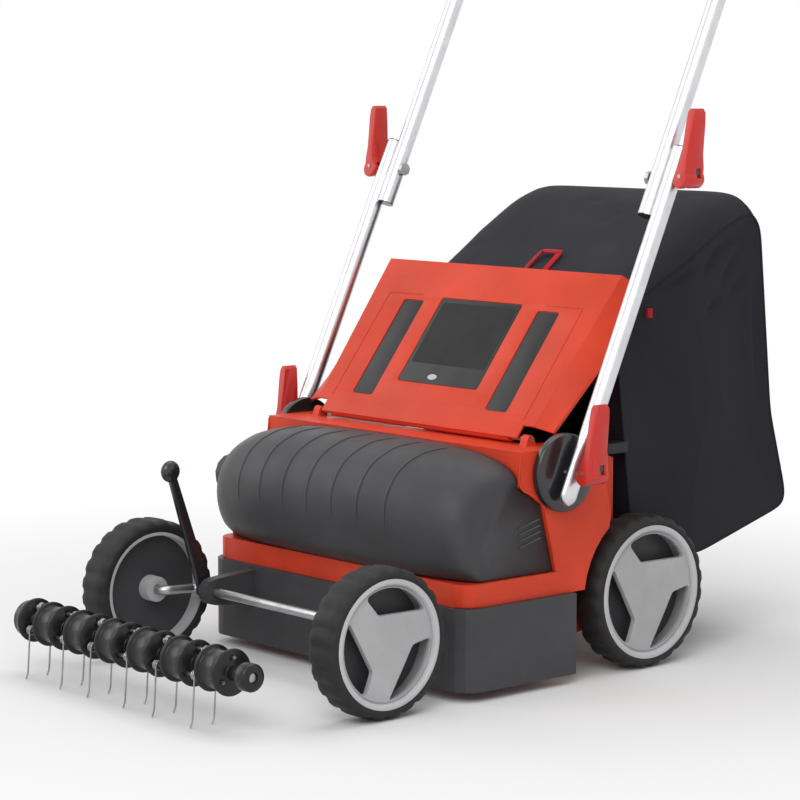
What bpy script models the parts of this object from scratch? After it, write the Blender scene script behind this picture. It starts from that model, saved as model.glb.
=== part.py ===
"""Lawn scarifier with its spare spring-tine reel, built as separate parts.

Metres, +Z up. The machine's front faces -Y, its width runs along X. Heights
are above the ground that the four wheels stand on. The front end is placed from
the front axle and the back end from the rear axle. The empty that carries the
machine then puts the origin under the middle of the bounding box.
"""
import math

import bmesh
import bpy
from mathutils import Matrix, Vector

# Clearances
GAP = 0.0003
RUN_GAP = 0.0005

# The width and the wheelbase that the other places are set off from
HOUSING_HALF = 0.242
WHEELBASE = 0.431
REAR_Y = 0.2155
FRONT_AXLE_Y = REAR_Y - WHEELBASE

# Wheels
REAR_RADIUS = 0.0965
FRONT_RADIUS = 0.0887
WHEEL_OVERHANG = 0.008
WHEEL_OUTER_X = HOUSING_HALF + WHEEL_OVERHANG
WHEEL_WIDTH = 0.046
TYRE_DEPTH = 0.0155
TYRE_SHOULDER = 0.006
RIM_BAND = 0.006
RIM_WEB = 0.010
RIM_WEB_INSET = 0.008
HUB_RADIUS = 0.019
HUB_WALL = 0.008
AXLE_RADIUS = 0.006
WINDOW_MARGIN = 0.004
WINDOW_ANGLE = math.radians(74)
FIRST_WINDOW = math.radians(70)
WHEEL_SEGMENTS = 20

# Red main housing
CHEEK_INSET = 0.047
CHEEK_OUTER = HOUSING_HALF - CHEEK_INSET
HOUSING_WALL = 0.004
CHEEK_INNER = CHEEK_OUTER - HOUSING_WALL
BAND_BOTTOM = 0.1123
BAND_TOP = 0.140
FRONT_WHEEL_ROOM = 0.0348
FRONT_Y = FRONT_AXLE_Y + FRONT_RADIUS + FRONT_WHEEL_ROOM
COVER_DEPTH = 0.088
LEDGE_Z = 0.291
LEDGE_FRONT_Y = FRONT_Y + COVER_DEPTH
LEDGE_BACK_Y = REAR_Y - 0.0875
POD_FOOT_Y = LEDGE_FRONT_Y + 0.060
POD_KNEE = (LEDGE_FRONT_Y + 0.038, 0.224)
POD_TIP_Z = 0.249
POD_BACK_Z = 0.205
ROOF_DEPTH = 0.060
CHEEK_BOTTOM = 0.035
CHEEK_BACK_Y = REAR_Y - 0.0155
CHEEK_BACK_Z = 0.262
BULKHEAD_TOP = 0.262
ARCH_CLEARANCE = 0.0155
CORNER_CHAMFER = 0.020

# Dark lower skirt with the arms that carry the front axle
SKIRT_HALF = HOUSING_HALF + 0.008
SKIRT_FRONT_Y = FRONT_Y - 0.008
SKIRT_BACK_Y = POD_FOOT_Y + 0.027
SKIRT_BOTTOM = 0.012
SKIRT_WALL = 0.004
SKIRT_CORNER = 0.030
SKIRT_RIM = 0.022
SKIRT_LIP = 0.0145
ARM_INNER_X = CHEEK_OUTER - 0.045
ARM_THICKNESS = 0.016
ARM_HEIGHT = 0.044

# Front crank axle and its depth lever
CRANK_Y = FRONT_AXLE_Y + 0.0525
CRANK_Z = 0.086
CRANK_CHEEK_X = CHEEK_OUTER - 0.003
CRANK_BEND = 0.008
LEVER_X = -(CHEEK_OUTER - 0.019)
LEVER_THICKNESS = 0.008
LEVER_LENGTH = 0.165
LEVER_LEAN = math.radians(72)
LEVER_WIDTH = 0.020
KNOB_RADIUS = 0.015

# Blade roller
ROLLER_Y = LEDGE_FRONT_Y
ROLLER_Z = 0.072
ROLLER_SHAFT_RADIUS = 0.008
ROLLER_SIDES = 10
SLEEVE_RADIUS = 0.0125
BLADE_TIP_RADIUS = 0.060
BLADE_ROOT_RADIUS = 0.021
BLADE_THICKNESS = 0.002
BLADE_COUNT = 10
ROLLER_HALF = CHEEK_OUTER - 0.020
BLADE_PITCH = 2 * ROLLER_HALF / BLADE_COUNT
BLADE_WINGS = 3
BEARING_RADIUS = 0.0195
BEARING_FLANGE_RADIUS = 0.027
BEARING_FLANGE = 0.004

# Motor, belt and pulleys on the far side
MOTOR_RADIUS = 0.036
MOTOR_X0 = -(CHEEK_OUTER - 0.030)
MOTOR_X1 = 0.060
MOTOR_OFFSET = 0.041
MOTOR_SHAFT_RADIUS = 0.005
MOTOR_PULLEY_RADIUS = 0.014
ROLLER_PULLEY_RADIUS = 0.028
PULLEY_FLANGE = 0.003
PULLEY_WIDTH = 0.014
BELT_X = -(CHEEK_OUTER + 0.0215)
BELT_WIDTH = 0.009
BELT_THICKNESS = 0.004
BELT_GAP = 0.0008
BELT_COVER_MARGIN = 0.011
BELT_COVER_WALL = 0.0025
BELT_COVER_OUTER_X = -(HOUSING_HALF - 0.0087)

# Dark motor cover
COVER_HALF = HOUSING_HALF - 0.0045
COVER_WALL = 0.0035
COVER_SECTIONS = 9

# Rear flap
FLAP_ANGLE = math.radians(52.3)
FLAP_PIVOT_Y = REAR_Y - 0.1675
FLAP_PIVOT_Z = 0.2985
FLAP_LENGTH = 0.240
FLAP_HALF = HOUSING_HALF - 0.010
FLAP_TOP_HALF = FLAP_HALF - 0.011
FLAP_MIDDLE_HALF = FLAP_HALF - 0.022
FLAP_LOW_HALF = FLAP_HALF - 0.040
FLAP_DEPTH = 0.028
FLAP_WALL = 0.003
FLAP_RISE = 0.0070
FLAP_FOOT = -0.004
FLAP_NOTCH = 0.0145
FLAP_NOTCH_X = FLAP_LOW_HALF - 0.005
FLAP_SLEEVE_RADIUS = 0.0058
FLAP_SLEEVE_HALF = FLAP_NOTCH_X - 0.017
FLAP_ROD_RADIUS = 0.003
FLAP_ROD_HALF = FLAP_LOW_HALF + 0.013
FLAP_LUG_WIDTH = 0.012
PANEL_HALF = 0.076
PANEL_BOTTOM = 0.055
PANEL_TOP = 0.185
INLAY_INNER = 0.108
INLAY_OUTER = 0.147
INLAY_BOTTOM = 0.029
INLAY_TOP = 0.178
INLAY_DEPTH = 0.0015

# Handle
TUBE_RADIUS = 0.011
DISC_ROOM = 0.015
TUBE_X = HOUSING_HALF + DISC_ROOM + TUBE_RADIUS
HANDLE_ANGLE = math.radians(65.2)
PIVOT_Y = REAR_Y - 0.1535
PIVOT_Z = 0.262
TUBE_FOOT = 0.040
LOWER_TUBE_TOP = 0.425
UPPER_PIVOT = 0.385
UPPER_FOOT = 0.050
UPPER_TOP = 0.480
UPPER_BEND = 0.060
LEG_GAP = 0.0006
DISC_RADIUS = 0.048
DISC_EDGE = 0.004
BOLT_RADIUS = 0.004
BOLT_NUT_RADIUS = 0.0085
BOLT_NUT_LENGTH = 0.006
CLAMP_CAM_RADIUS = 0.0115
CLAMP_LENGTH = 0.086
CLAMP_FRONT = 0.012
CLAMP_BACK = 0.022
CLAMP_TAPER = 0.014
CLAMP_THICKNESS = 0.010

# Handle top: grip, switch box, bail, button and inlet
GRIP_RADIUS = 0.0155
GRIP_HALF = 0.120
BOX_X0 = GRIP_HALF + 0.008
BOX_X1 = BOX_X0 + 0.050
BOX_HEIGHT = 0.072
BOX_DEPTH = 0.046
BAIL_OFFSET = 0.028
BAIL_REACH = 0.050
BAIL_RADIUS = 0.0045
BAIL_HALF = GRIP_HALF - 0.008
BUTTON_RADIUS = 0.007
BUTTON_RISE = 0.006
INLET_LENGTH = 0.030
INLET_RADIUS = 0.0165

# Grass bag
BAG_HALF = HOUSING_HALF - 0.034
BAG_FRONT_HALF = BAG_HALF - 0.020
BAG_TAPER_LENGTH = 0.130
BAG_WALL = 0.004
BAG_SECTIONS = 7
BAG_CROWN = 0.026
BAG_CROWN_POWER = 12
MOUTH_HALF = CHEEK_OUTER - 0.045
MOUTH_LOW = (REAR_Y + 0.023, 0.150)
MOUTH_HIGH = (REAR_Y - 0.0065, 0.430)
FRAME_BAR = 0.010
HOOK_WIDTH = 0.014
HANDLE_SEAT = 0.0038
HANDLE_HALF = 0.028

# Spring-tine reel lying in front of the machine
REEL_ROOM = 0.0808
REEL_Y = FRONT_AXLE_Y - FRONT_RADIUS - REEL_ROOM
REEL_X = -0.003
REEL_PITCH = 0.033
REEL_SPOOLS = 6
REEL_DISC_RADIUS = 0.0275
REEL_DISC = 0.004
REEL_DRUM_RADIUS = 0.0225
REEL_SLEEVE_RADIUS = 0.0092
REEL_SHAFT_RADIUS = 0.006
REEL_ROD_RING = 0.0178
REEL_ROD_RADIUS = 0.0022
REEL_ROD_SPARE = 0.004
REEL_END = 0.030
REEL_SEGMENTS = 14
BLOCK_RADIUS = 0.0165
BLOCK_LENGTH = 0.022
SPRING_WIRE = 0.0011
SPRING_RADIUS = 0.0049
SPRING_CURLS = 2.25
SPRING_POINTS = 8
SPRING_PITCH = 0.0031
TINE_LENGTH = 0.052
TIP_LENGTH = 0.008
TIP_BEND = math.radians(-20)
TINE_DOWN = math.radians(266)
TINE_BACK = math.radians(338)

HANDLE_DIR = Vector((0, math.cos(HANDLE_ANGLE), math.sin(HANDLE_ANGLE)))
FLAP_DIR = Vector((0, math.cos(FLAP_ANGLE), math.sin(FLAP_ANGLE)))
FLAP_UP = Vector((0, -math.sin(FLAP_ANGLE), math.cos(FLAP_ANGLE)))
X_AXIS = Vector((1, 0, 0))

# The motor cover's curve from its front foot to its top, in the middle and at
# its ends, with lengths behind the housing's front
COVER_MIDDLE = ((-0.0005, 0.1405), (-0.026, 0.163), (-0.040, 0.198), (-0.040, 0.236),
                (-0.020, 0.269), (0.016, 0.287), (0.052, 0.2915), (0.0865, 0.2905))
COVER_ENDS = ((0.032, 0.1405), (0.016, 0.158), (0.008, 0.183), (0.011, 0.208),
              (0.025, 0.230), (0.046, 0.245), (0.068, 0.254), (0.0865, 0.2555))
COVER_HEART = (0.062, 0.195)

# The bag's outline seen from the side, front bottom first, with lengths behind
# the rear axle
BAG_OUTLINE = tuple((REAR_Y + y, z) for y, z in (
    (0.0245, 0.128), (0.1295, 0.126), (0.2925, 0.172), (0.2965, 0.190),
    (0.2645, 0.300), (0.2395, 0.545), (0.2205, 0.564), (0.1765, 0.548),
    (0.0845, 0.492), (-0.0095, 0.438)))
BAG_HEART = Vector((REAR_Y + 0.1445, 0.33))
BAG_BULGE_Y = REAR_Y + 0.2245


def tine_foot():
    """Return how far a lower tine's tip reaches below its rod and ahead of it."""
    end = TINE_DOWN - math.pi / 2
    y = SPRING_RADIUS * math.cos(end) + TINE_LENGTH * math.cos(TINE_DOWN)
    z = SPRING_RADIUS * math.sin(end) + TINE_LENGTH * math.sin(TINE_DOWN)
    y += TIP_LENGTH * math.cos(TINE_DOWN + TIP_BEND)
    z += TIP_LENGTH * math.sin(TINE_DOWN + TIP_BEND)
    return y, z


LOW_ROD_ANGLES = (math.radians(210), math.radians(330))
TOP_ROD_ANGLE = math.radians(90)
REEL_Z = (SPRING_WIRE * 0.6 - tine_foot()[1]
          - REEL_ROD_RING * math.sin(LOW_ROD_ANGLES[0]))
REEL_FRONT = (REEL_Y + REEL_ROD_RING * math.cos(LOW_ROD_ANGLES[0])
              + tine_foot()[0] - SPRING_WIRE)
BAG_BACK = max(point[0] for point in BAG_OUTLINE)
ORIGIN_Y = (REEL_FRONT + BAG_BACK) / 2

for old in list(bpy.data.objects):
    bpy.data.objects.remove(old, do_unlink=True)

MATERIALS = {}
PIVOTS = {}
SCENE = bpy.context.scene.collection


def finish(name, colour, roughness, metallic=0.0):
    """Make one Principled material and keep it under its name."""
    material = bpy.data.materials.new(name)
    material.use_nodes = True
    shader = material.node_tree.nodes["Principled BSDF"]
    shader.inputs["Base Color"].default_value = (*colour, 1.0)
    shader.inputs["Roughness"].default_value = roughness
    shader.inputs["Metallic"].default_value = metallic
    MATERIALS[name] = material


def body(name, pivot=(0, 0, 0), parent=None):
    """Add the empty that carries one moving body, on its joint's axis."""
    empty = bpy.data.objects.new("at_" + name, None)
    SCENE.objects.link(empty)
    spot = Vector(pivot)
    PIVOTS[name] = (empty, spot)
    if parent is None:
        empty.location = spot - Vector((0, ORIGIN_Y, 0))
    else:
        carrier, carrier_spot = PIVOTS[parent]
        empty.parent = carrier
        empty.location = spot - carrier_spot


def add(name, bm, material, owner, smooth=35):
    """Turn a bmesh in machine coordinates into an object of one body."""
    bmesh.ops.remove_doubles(bm, verts=bm.verts, dist=1e-6)
    bmesh.ops.recalc_face_normals(bm, faces=bm.faces)
    empty, spot = PIVOTS[owner]
    bm.transform(Matrix.Translation(-spot))
    mesh = bpy.data.meshes.new(name)
    bm.to_mesh(mesh)
    bm.free()
    if smooth:
        mesh.shade_smooth()
        mesh.set_sharp_from_angle(angle=math.radians(smooth))
    piece = bpy.data.objects.new(name, mesh)
    SCENE.objects.link(piece)
    piece.parent = empty
    if material:
        mesh.materials.append(MATERIALS[material])
    return piece


def combine(piece, name, bm, owner, operation):
    """Cut a shape from a piece, or weld it on, with a Boolean modifier."""
    tool = add(name, bm, None, owner, 0)
    tool.hide_render = True
    tool.display_type = "WIRE"
    modifier = piece.modifiers.new(name, "BOOLEAN")
    modifier.operation = operation
    modifier.solver = "EXACT"
    modifier.object = tool


def cut(piece, name, bm, owner="machine"):
    """Cut a shape away from a piece."""
    combine(piece, "cut_" + name, bm, owner, "DIFFERENCE")


def weld(piece, name, bm, owner="machine"):
    """Weld a shape to a piece."""
    combine(piece, "join_" + name, bm, owner, "UNION")


def merged(*shapes):
    """Put several separate shapes into one bmesh."""
    whole = bmesh.new()
    for shape in shapes:
        mesh = bpy.data.meshes.new("merge")
        shape.to_mesh(mesh)
        shape.free()
        whole.from_mesh(mesh)
        bpy.data.meshes.remove(mesh)
    return whole


def loft(rings):
    """Skin closed rings of equal length and cap both ends."""
    bm = bmesh.new()
    rows = [[bm.verts.new(point) for point in ring] for ring in rings]
    count = len(rows[0])
    for first, second in zip(rows, rows[1:]):
        for i in range(count):
            j = (i + 1) % count
            bm.faces.new((first[i], first[j], second[j], second[i]))
    bm.faces.new(rows[0])
    bm.faces.new(reversed(rows[-1]))
    return bm


def curved(rings):
    """Skin rings whose sides are not flat, split into triangles for the cuts."""
    bm = loft(rings)
    bmesh.ops.triangulate(bm, faces=bm.faces[:])
    return bm


def prism(outline, low, high, axis="X"):
    """Extrude a flat outline along X from (y, z) points, or along Z from (x, y)."""
    if axis == "X":
        return loft([[(level, a, b) for a, b in outline] for level in (low, high)])
    return loft([[(a, b, level) for a, b in outline] for level in (low, high)])


def block(x0, x1, y0, y1, z0, z1):
    """Make a plain box between two corners."""
    return prism(((y0, z0), (y1, z0), (y1, z1), (y0, z1)), x0, x1)


def arc(centre, radius, start, end, steps):
    """Return points on an arc, both ends included."""
    span = end - start
    return [(centre[0] + radius * math.cos(start + span * i / steps),
             centre[1] + radius * math.sin(start + span * i / steps))
            for i in range(steps + 1)]


def circle(centre, radius, steps):
    """Return the points of a full circle, its first point once."""
    return arc(centre, radius, 0, 2 * math.pi, steps)[:-1]


def rounded(corners, steps=3):
    """Return an outline whose corners (a, b, radius) are rounded by arcs."""
    points = []
    count = len(corners)
    for i, (a, b, radius) in enumerate(corners):
        here = Vector((a, b))
        before = (Vector(corners[i - 1][:2]) - here).normalized()
        after = (Vector(corners[(i + 1) % count][:2]) - here).normalized()
        if radius <= 0:
            points.append((a, b))
            continue
        half = before.angle(after) / 2
        start = here + before * radius / math.tan(half)
        stop = here + after * radius / math.tan(half)
        centre = here + (before + after).normalized() * radius / math.sin(half)
        for k in range(steps + 1):
            blend = start.lerp(stop, k / steps) - centre
            points.append(tuple(centre + blend.normalized() * radius))
    return points


def racetrack(first, second, grow, steps=6):
    """Return the outline round two circles (y, z, radius), each grown a little."""
    a, b = Vector(first[:2]), Vector(second[:2])
    ra, rb = first[2] + grow, second[2] + grow
    along = b - a
    heading = math.atan2(along.y, along.x)
    tilt = math.acos((ra - rb) / along.length)
    return (arc(a, ra, heading + tilt, heading + 2 * math.pi - tilt, steps)
            + arc(b, rb, heading - tilt, heading + tilt, steps))


def turned(profile, centre, segments, flip=1):
    """Turn (radius, x) points about an X axis; a radius of 0 closes the end."""
    bm = bmesh.new()
    rows = []
    for radius, x in profile:
        spot = Vector(centre) + Vector((flip * x, 0, 0))
        if radius == 0:
            rows.append([bm.verts.new(spot)])
            continue
        rows.append([bm.verts.new(spot + Vector((0, y, z)))
                     for y, z in circle((0, 0), radius, segments)])
    closed = profile[0][0] > 0
    pairs = list(zip(rows, rows[1:]))
    if closed:
        pairs.append((rows[-1], rows[0]))
    for first, second in pairs:
        for i in range(segments):
            j = (i + 1) % segments
            ring = [first[i % len(first)], first[j % len(first)],
                    second[j % len(second)], second[i % len(second)]]
            corners = list(dict.fromkeys(ring))
            if len(corners) > 2:
                bm.faces.new(corners)
    return bm


def peg(centre, radius, x0, x1, segments=12):
    """Make a round bar along X."""
    return turned(((0, x0), (radius, x0), (radius, x1), (0, x1)),
                  (0, centre[0], centre[1]), segments)


def sweep(points, radius, sides):
    """Sweep a round section along points, with flat ends square to the path."""
    path = [Vector(point) for point in points]
    heading = (path[1] - path[0]).normalized()
    across = heading.orthogonal().normalized()
    rings = []
    for i, point in enumerate(path):
        before = path[max(i - 1, 0)]
        after = path[min(i + 1, len(path) - 1)]
        turn = (after - before).normalized()
        across = (across - turn * across.dot(turn)).normalized()
        other = turn.cross(across)
        rings.append([point + radius * (across * math.cos(a) + other * math.sin(a))
                      for a in (2 * math.pi * k / sides for k in range(sides))])
    return loft(rings)


def bend(corners, radius, steps=4):
    """Return a path through 3-D corners, with each inner corner rounded."""
    points = [Vector(corners[0])]
    for before, here, after in zip(corners, corners[1:], corners[2:]):
        here = Vector(here)
        back = (Vector(before) - here).normalized()
        ahead = (Vector(after) - here).normalized()
        half = back.angle(ahead) / 2
        reach = radius / math.tan(half)
        centre = here + (back + ahead).normalized() * radius / math.sin(half)
        start, stop = here + back * reach, here + ahead * reach
        for k in range(steps + 1):
            arm = start.lerp(stop, k / steps) - centre
            points.append(centre + arm.normalized() * radius)
    points.append(Vector(corners[-1]))
    return points


def side_name(side):
    """Name the machine's right side, at +X, and its left side."""
    return "right" if side > 0 else "left"


def make_finishes():
    """Make the materials of all the parts."""
    finish("red_plastic", (0.80, 0.045, 0.02), 0.38)
    finish("dark_plastic", (0.035, 0.036, 0.040), 0.48)
    finish("gloss_dark", (0.030, 0.030, 0.034), 0.22)
    finish("rim_grey", (0.33, 0.33, 0.34), 0.45)
    finish("tyre_black", (0.020, 0.020, 0.021), 0.80)
    finish("tube_silver", (0.62, 0.62, 0.64), 0.30, 0.9)
    finish("steel", (0.55, 0.55, 0.56), 0.32, 1.0)
    finish("belt_rubber", (0.018, 0.018, 0.018), 0.75)
    finish("bag_fabric", (0.022, 0.024, 0.030), 0.92)
    finish("webbing_red", (0.55, 0.020, 0.030), 0.80)
    finish("reel_plastic", (0.018, 0.018, 0.020), 0.35)
    finish("grip_rubber", (0.025, 0.025, 0.026), 0.90)


def make_wheel(end, side, y, radius):
    """Make one wheel: a rim with three windows and a tyre round it."""
    name = end + "_" + side_name(side)
    owner = "wheel_" + name
    body(owner, (side * WHEEL_OUTER_X, y, radius),
         "machine" if end == "rear" else "front_axle")
    seat = radius - TYRE_DEPTH
    band = seat - RIM_BAND
    inner = WHEEL_OUTER_X - WHEEL_WIDTH
    web_out = WHEEL_OUTER_X - RIM_WEB_INSET
    web_in = web_out - RIM_WEB
    bore = AXLE_RADIUS + GAP
    bore_end = WHEEL_OUTER_X - HUB_WALL
    centre = (0, y, radius)
    rim = add("rim_" + name, turned((
        (0, bore_end), (bore, bore_end), (bore, inner), (HUB_RADIUS, inner),
        (HUB_RADIUS, web_in), (band, web_in), (band, inner), (seat, inner),
        (seat, WHEEL_OUTER_X), (band, WHEEL_OUTER_X), (band, web_out), (HUB_RADIUS, web_out),
        (HUB_RADIUS, WHEEL_OUTER_X - TYRE_SHOULDER / 2), (0, WHEEL_OUTER_X),
    ), centre, WHEEL_SEGMENTS, side), "rim_grey", owner)
    windows = []
    for k in range(3):
        middle = FIRST_WINDOW + k * 2 * math.pi / 3
        start, stop = middle - WINDOW_ANGLE / 2, middle + WINDOW_ANGLE / 2
        near, far = HUB_RADIUS + 2 * WINDOW_MARGIN, band - WINDOW_MARGIN
        outline = (arc((y, radius), far, start, stop, 4)
                   + arc((y, radius), near, stop - 0.25, start + 0.25, 1))
        low = side * (web_in - WINDOW_MARGIN)
        high = side * (web_out + WINDOW_MARGIN)
        windows.append(prism(outline, low, high))
    cut(rim, "windows_" + name, merged(*windows), owner)
    shoulder = radius - TYRE_SHOULDER
    tread_in, tread_out = inner + TYRE_SHOULDER, WHEEL_OUTER_X - TYRE_SHOULDER
    add("tyre_" + name, turned((
        (seat + GAP, inner), (shoulder, inner), (radius, tread_in),
        (radius, tread_out), (shoulder, WHEEL_OUTER_X - GAP),
        (seat + GAP, WHEEL_OUTER_X - GAP),
    ), centre, WHEEL_SEGMENTS, side), "tyre_black", owner)


def belt_circles():
    """Return the two pulleys' centres and radii in the belt's plane."""
    motor = motor_centre()
    return ((motor[0], motor[1], MOTOR_PULLEY_RADIUS),
            (ROLLER_Y, ROLLER_Z, ROLLER_PULLEY_RADIUS))


def bulkhead():
    """Return the foot and the head of the sloping wall behind the motor."""
    return Vector((FRONT_Y + 0.014, BAND_TOP)), Vector((LEDGE_FRONT_Y + 0.001,
                                                            BULKHEAD_TOP))


def motor_centre():
    """Return (y, z) of the motor's shaft, set off from the sloping wall."""
    foot, head = bulkhead()
    along = (head - foot).normalized()
    middle = foot.lerp(head, 0.5)
    return (middle.x - along.y * MOTOR_OFFSET, middle.y + along.x * MOTOR_OFFSET)


def pod_outline(inset):
    """Return the side outline of the housing's wide part, drawn in by inset."""
    arch = arc((REAR_Y, REAR_RADIUS), REAR_RADIUS + ARCH_CLEARANCE + inset,
               math.radians(128), math.radians(171.5), 5)
    bottom = BAND_BOTTOM - (0.02 if inset else 0)
    arch[-1] = (arch[-1][0], bottom)
    return [(FRONT_Y + inset, bottom), (FRONT_Y + inset, BAND_TOP - inset),
            (POD_FOOT_Y + inset, BAND_TOP - inset), (POD_KNEE[0] + inset, POD_KNEE[1]),
            (LEDGE_FRONT_Y + inset, POD_TIP_Z + inset),
            (LEDGE_FRONT_Y + inset, LEDGE_Z - inset),
            (LEDGE_BACK_Y - inset, LEDGE_Z - inset),
            (LEDGE_BACK_Y + 0.022 - inset, POD_BACK_Z)] + arch


def make_housing():
    """Make the red housing: wide front pods, inner cheeks and hinge lugs."""
    wide = prism(pod_outline(0), -HOUSING_HALF, HOUSING_HALF)
    corners = [edge for edge in wide.edges
               if all(abs(v.co.y - FRONT_Y) < 1e-6 for v in edge.verts)
               and edge.verts[0].co.x == edge.verts[1].co.x]
    bmesh.ops.bevel(wide, geom=corners, offset=CORNER_CHAMFER, segments=3,
                    profile=0.5, affect="EDGES")
    housing = add("main_housing", wide, "red_plastic", "machine")
    foot, head = bulkhead()
    axle_top = REAR_RADIUS + 0.019
    cheek = [(FRONT_Y + 0.008, CHEEK_BOTTOM), (FRONT_Y + 0.008, BAND_TOP - 0.01),
             tuple(foot), tuple(head), (LEDGE_FRONT_Y + 0.001, LEDGE_Z - 0.003),
             (LEDGE_BACK_Y, LEDGE_Z - 0.003), (CHEEK_BACK_Y, CHEEK_BACK_Z),
             (CHEEK_BACK_Y, axle_top + 0.012), (REAR_Y + 0.017, axle_top),
             (REAR_Y + 0.017, REAR_RADIUS - 0.019), (REAR_Y - 0.0655, 0.050),
             (REAR_Y - 0.1255, CHEEK_BOTTOM)]
    weld(housing, "cheeks", prism(cheek, -CHEEK_OUTER, CHEEK_OUTER))
    roof = LEDGE_Z - HOUSING_WALL
    roof_end = LEDGE_FRONT_Y + ROOF_DEPTH
    room = [(FRONT_Y + 0.013, -0.01), (FRONT_Y + 0.013, BAND_TOP - 0.012),
            (foot.x + 0.007, foot.y - 0.003), (head.x + 0.006, head.y),
            (head.x + 0.008, roof), (roof_end, roof), (roof_end, LEDGE_Z + 0.02),
            (REAR_Y + 0.1, LEDGE_Z + 0.02), (REAR_Y + 0.1, -0.01)]
    cut(housing, "room", prism(room, -CHEEK_INNER, CHEEK_INNER))
    for side in (-1, 1):
        pod = prism(pod_outline(HOUSING_WALL), side * CHEEK_OUTER,
                    side * (HOUSING_HALF - HOUSING_WALL))
        cut(housing, "pod_" + side_name(side), pod)
    belt = racetrack(*belt_circles(), BELT_COVER_MARGIN + RUN_GAP)
    cut(housing, "belt_space", prism(belt, -CHEEK_OUTER, BELT_COVER_OUTER_X - RUN_GAP))
    cut(housing, "bearings", peg((ROLLER_Y, ROLLER_Z), BEARING_RADIUS + GAP,
                                 -CHEEK_OUTER - 0.005, CHEEK_OUTER + 0.005, 14))
    cut(housing, "axle", peg((REAR_Y, REAR_RADIUS), AXLE_RADIUS + GAP,
                             -CHEEK_OUTER - 0.005, CHEEK_OUTER + 0.005))
    for side in (-1, 1):
        near = side * (FLAP_ROD_HALF - FLAP_LUG_WIDTH)
        far = side * FLAP_ROD_HALF
        outline = [(FLAP_PIVOT_Y - 0.009, LEDGE_Z - 0.002),
                   (FLAP_PIVOT_Y + 0.009, LEDGE_Z - 0.002),
                   (FLAP_PIVOT_Y + 0.0055, FLAP_PIVOT_Z + 0.001)]
        outline += arc((FLAP_PIVOT_Y, FLAP_PIVOT_Z), 0.0055, 0.2, math.pi - 0.2, 4)
        outline.append((FLAP_PIVOT_Y - 0.0055, FLAP_PIVOT_Z + 0.001))
        weld(housing, "lug_" + side_name(side), prism(outline, near, far))
    cut(housing, "rod_hole", peg((FLAP_PIVOT_Y, FLAP_PIVOT_Z), FLAP_ROD_RADIUS + GAP,
                                 -FLAP_ROD_HALF - 0.01, FLAP_ROD_HALF + 0.01))


def make_chassis():
    """Make the dark skirt round the roller and the arms of the front axle."""
    top = BAND_BOTTOM - GAP
    outline = rounded(((-SKIRT_HALF, SKIRT_BACK_Y, 0),
                       (-SKIRT_HALF, SKIRT_FRONT_Y, SKIRT_CORNER),
                       (SKIRT_HALF, SKIRT_FRONT_Y, SKIRT_CORNER),
                       (SKIRT_HALF, SKIRT_BACK_Y, 0)), 4)
    chassis = add("lower_chassis", prism(outline, SKIRT_BOTTOM, top, "Z"),
                  "dark_plastic", "machine")
    inner = SKIRT_HALF - SKIRT_WALL
    hollow = rounded(((-inner, SKIRT_BACK_Y + 0.01, 0),
                      (-inner, SKIRT_FRONT_Y + SKIRT_WALL, SKIRT_CORNER - SKIRT_WALL),
                      (inner, SKIRT_FRONT_Y + SKIRT_WALL, SKIRT_CORNER - SKIRT_WALL),
                      (inner, SKIRT_BACK_Y + 0.01, 0)), 4)
    cut(chassis, "skirt_room", prism(hollow, SKIRT_BOTTOM - 0.01,
                                     top - SKIRT_WALL, "Z"))
    rim = SKIRT_HALF - SKIRT_RIM
    cut(chassis, "skirt_top", block(-rim, rim, SKIRT_FRONT_Y + SKIRT_LIP,
                                    SKIRT_BACK_Y + 0.01, top - 0.01, top + 0.01))
    for side in (-1, 1):
        arm = [(SKIRT_FRONT_Y + 0.002, CRANK_Z - ARM_HEIGHT / 2)]
        arm += [(SKIRT_FRONT_Y + 0.002, CRANK_Z + ARM_HEIGHT / 2)]
        arm += arc((CRANK_Y, CRANK_Z), ARM_HEIGHT / 2.6, math.pi / 2,
                   3 * math.pi / 2, 6)
        x0, x1 = side * ARM_INNER_X, side * (ARM_INNER_X + ARM_THICKNESS)
        weld(chassis, "arm_" + side_name(side), prism(arm, x0, x1))
    belt = racetrack(*belt_circles(), BELT_COVER_MARGIN + RUN_GAP)
    cut(chassis, "belt_gap", prism(belt, -rim + 0.01, BELT_COVER_OUTER_X - RUN_GAP))
    reach = ARM_INNER_X + ARM_THICKNESS + 0.01
    cut(chassis, "crank_hole", peg((CRANK_Y, CRANK_Z), AXLE_RADIUS + GAP,
                                   -reach, reach, 16))


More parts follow.
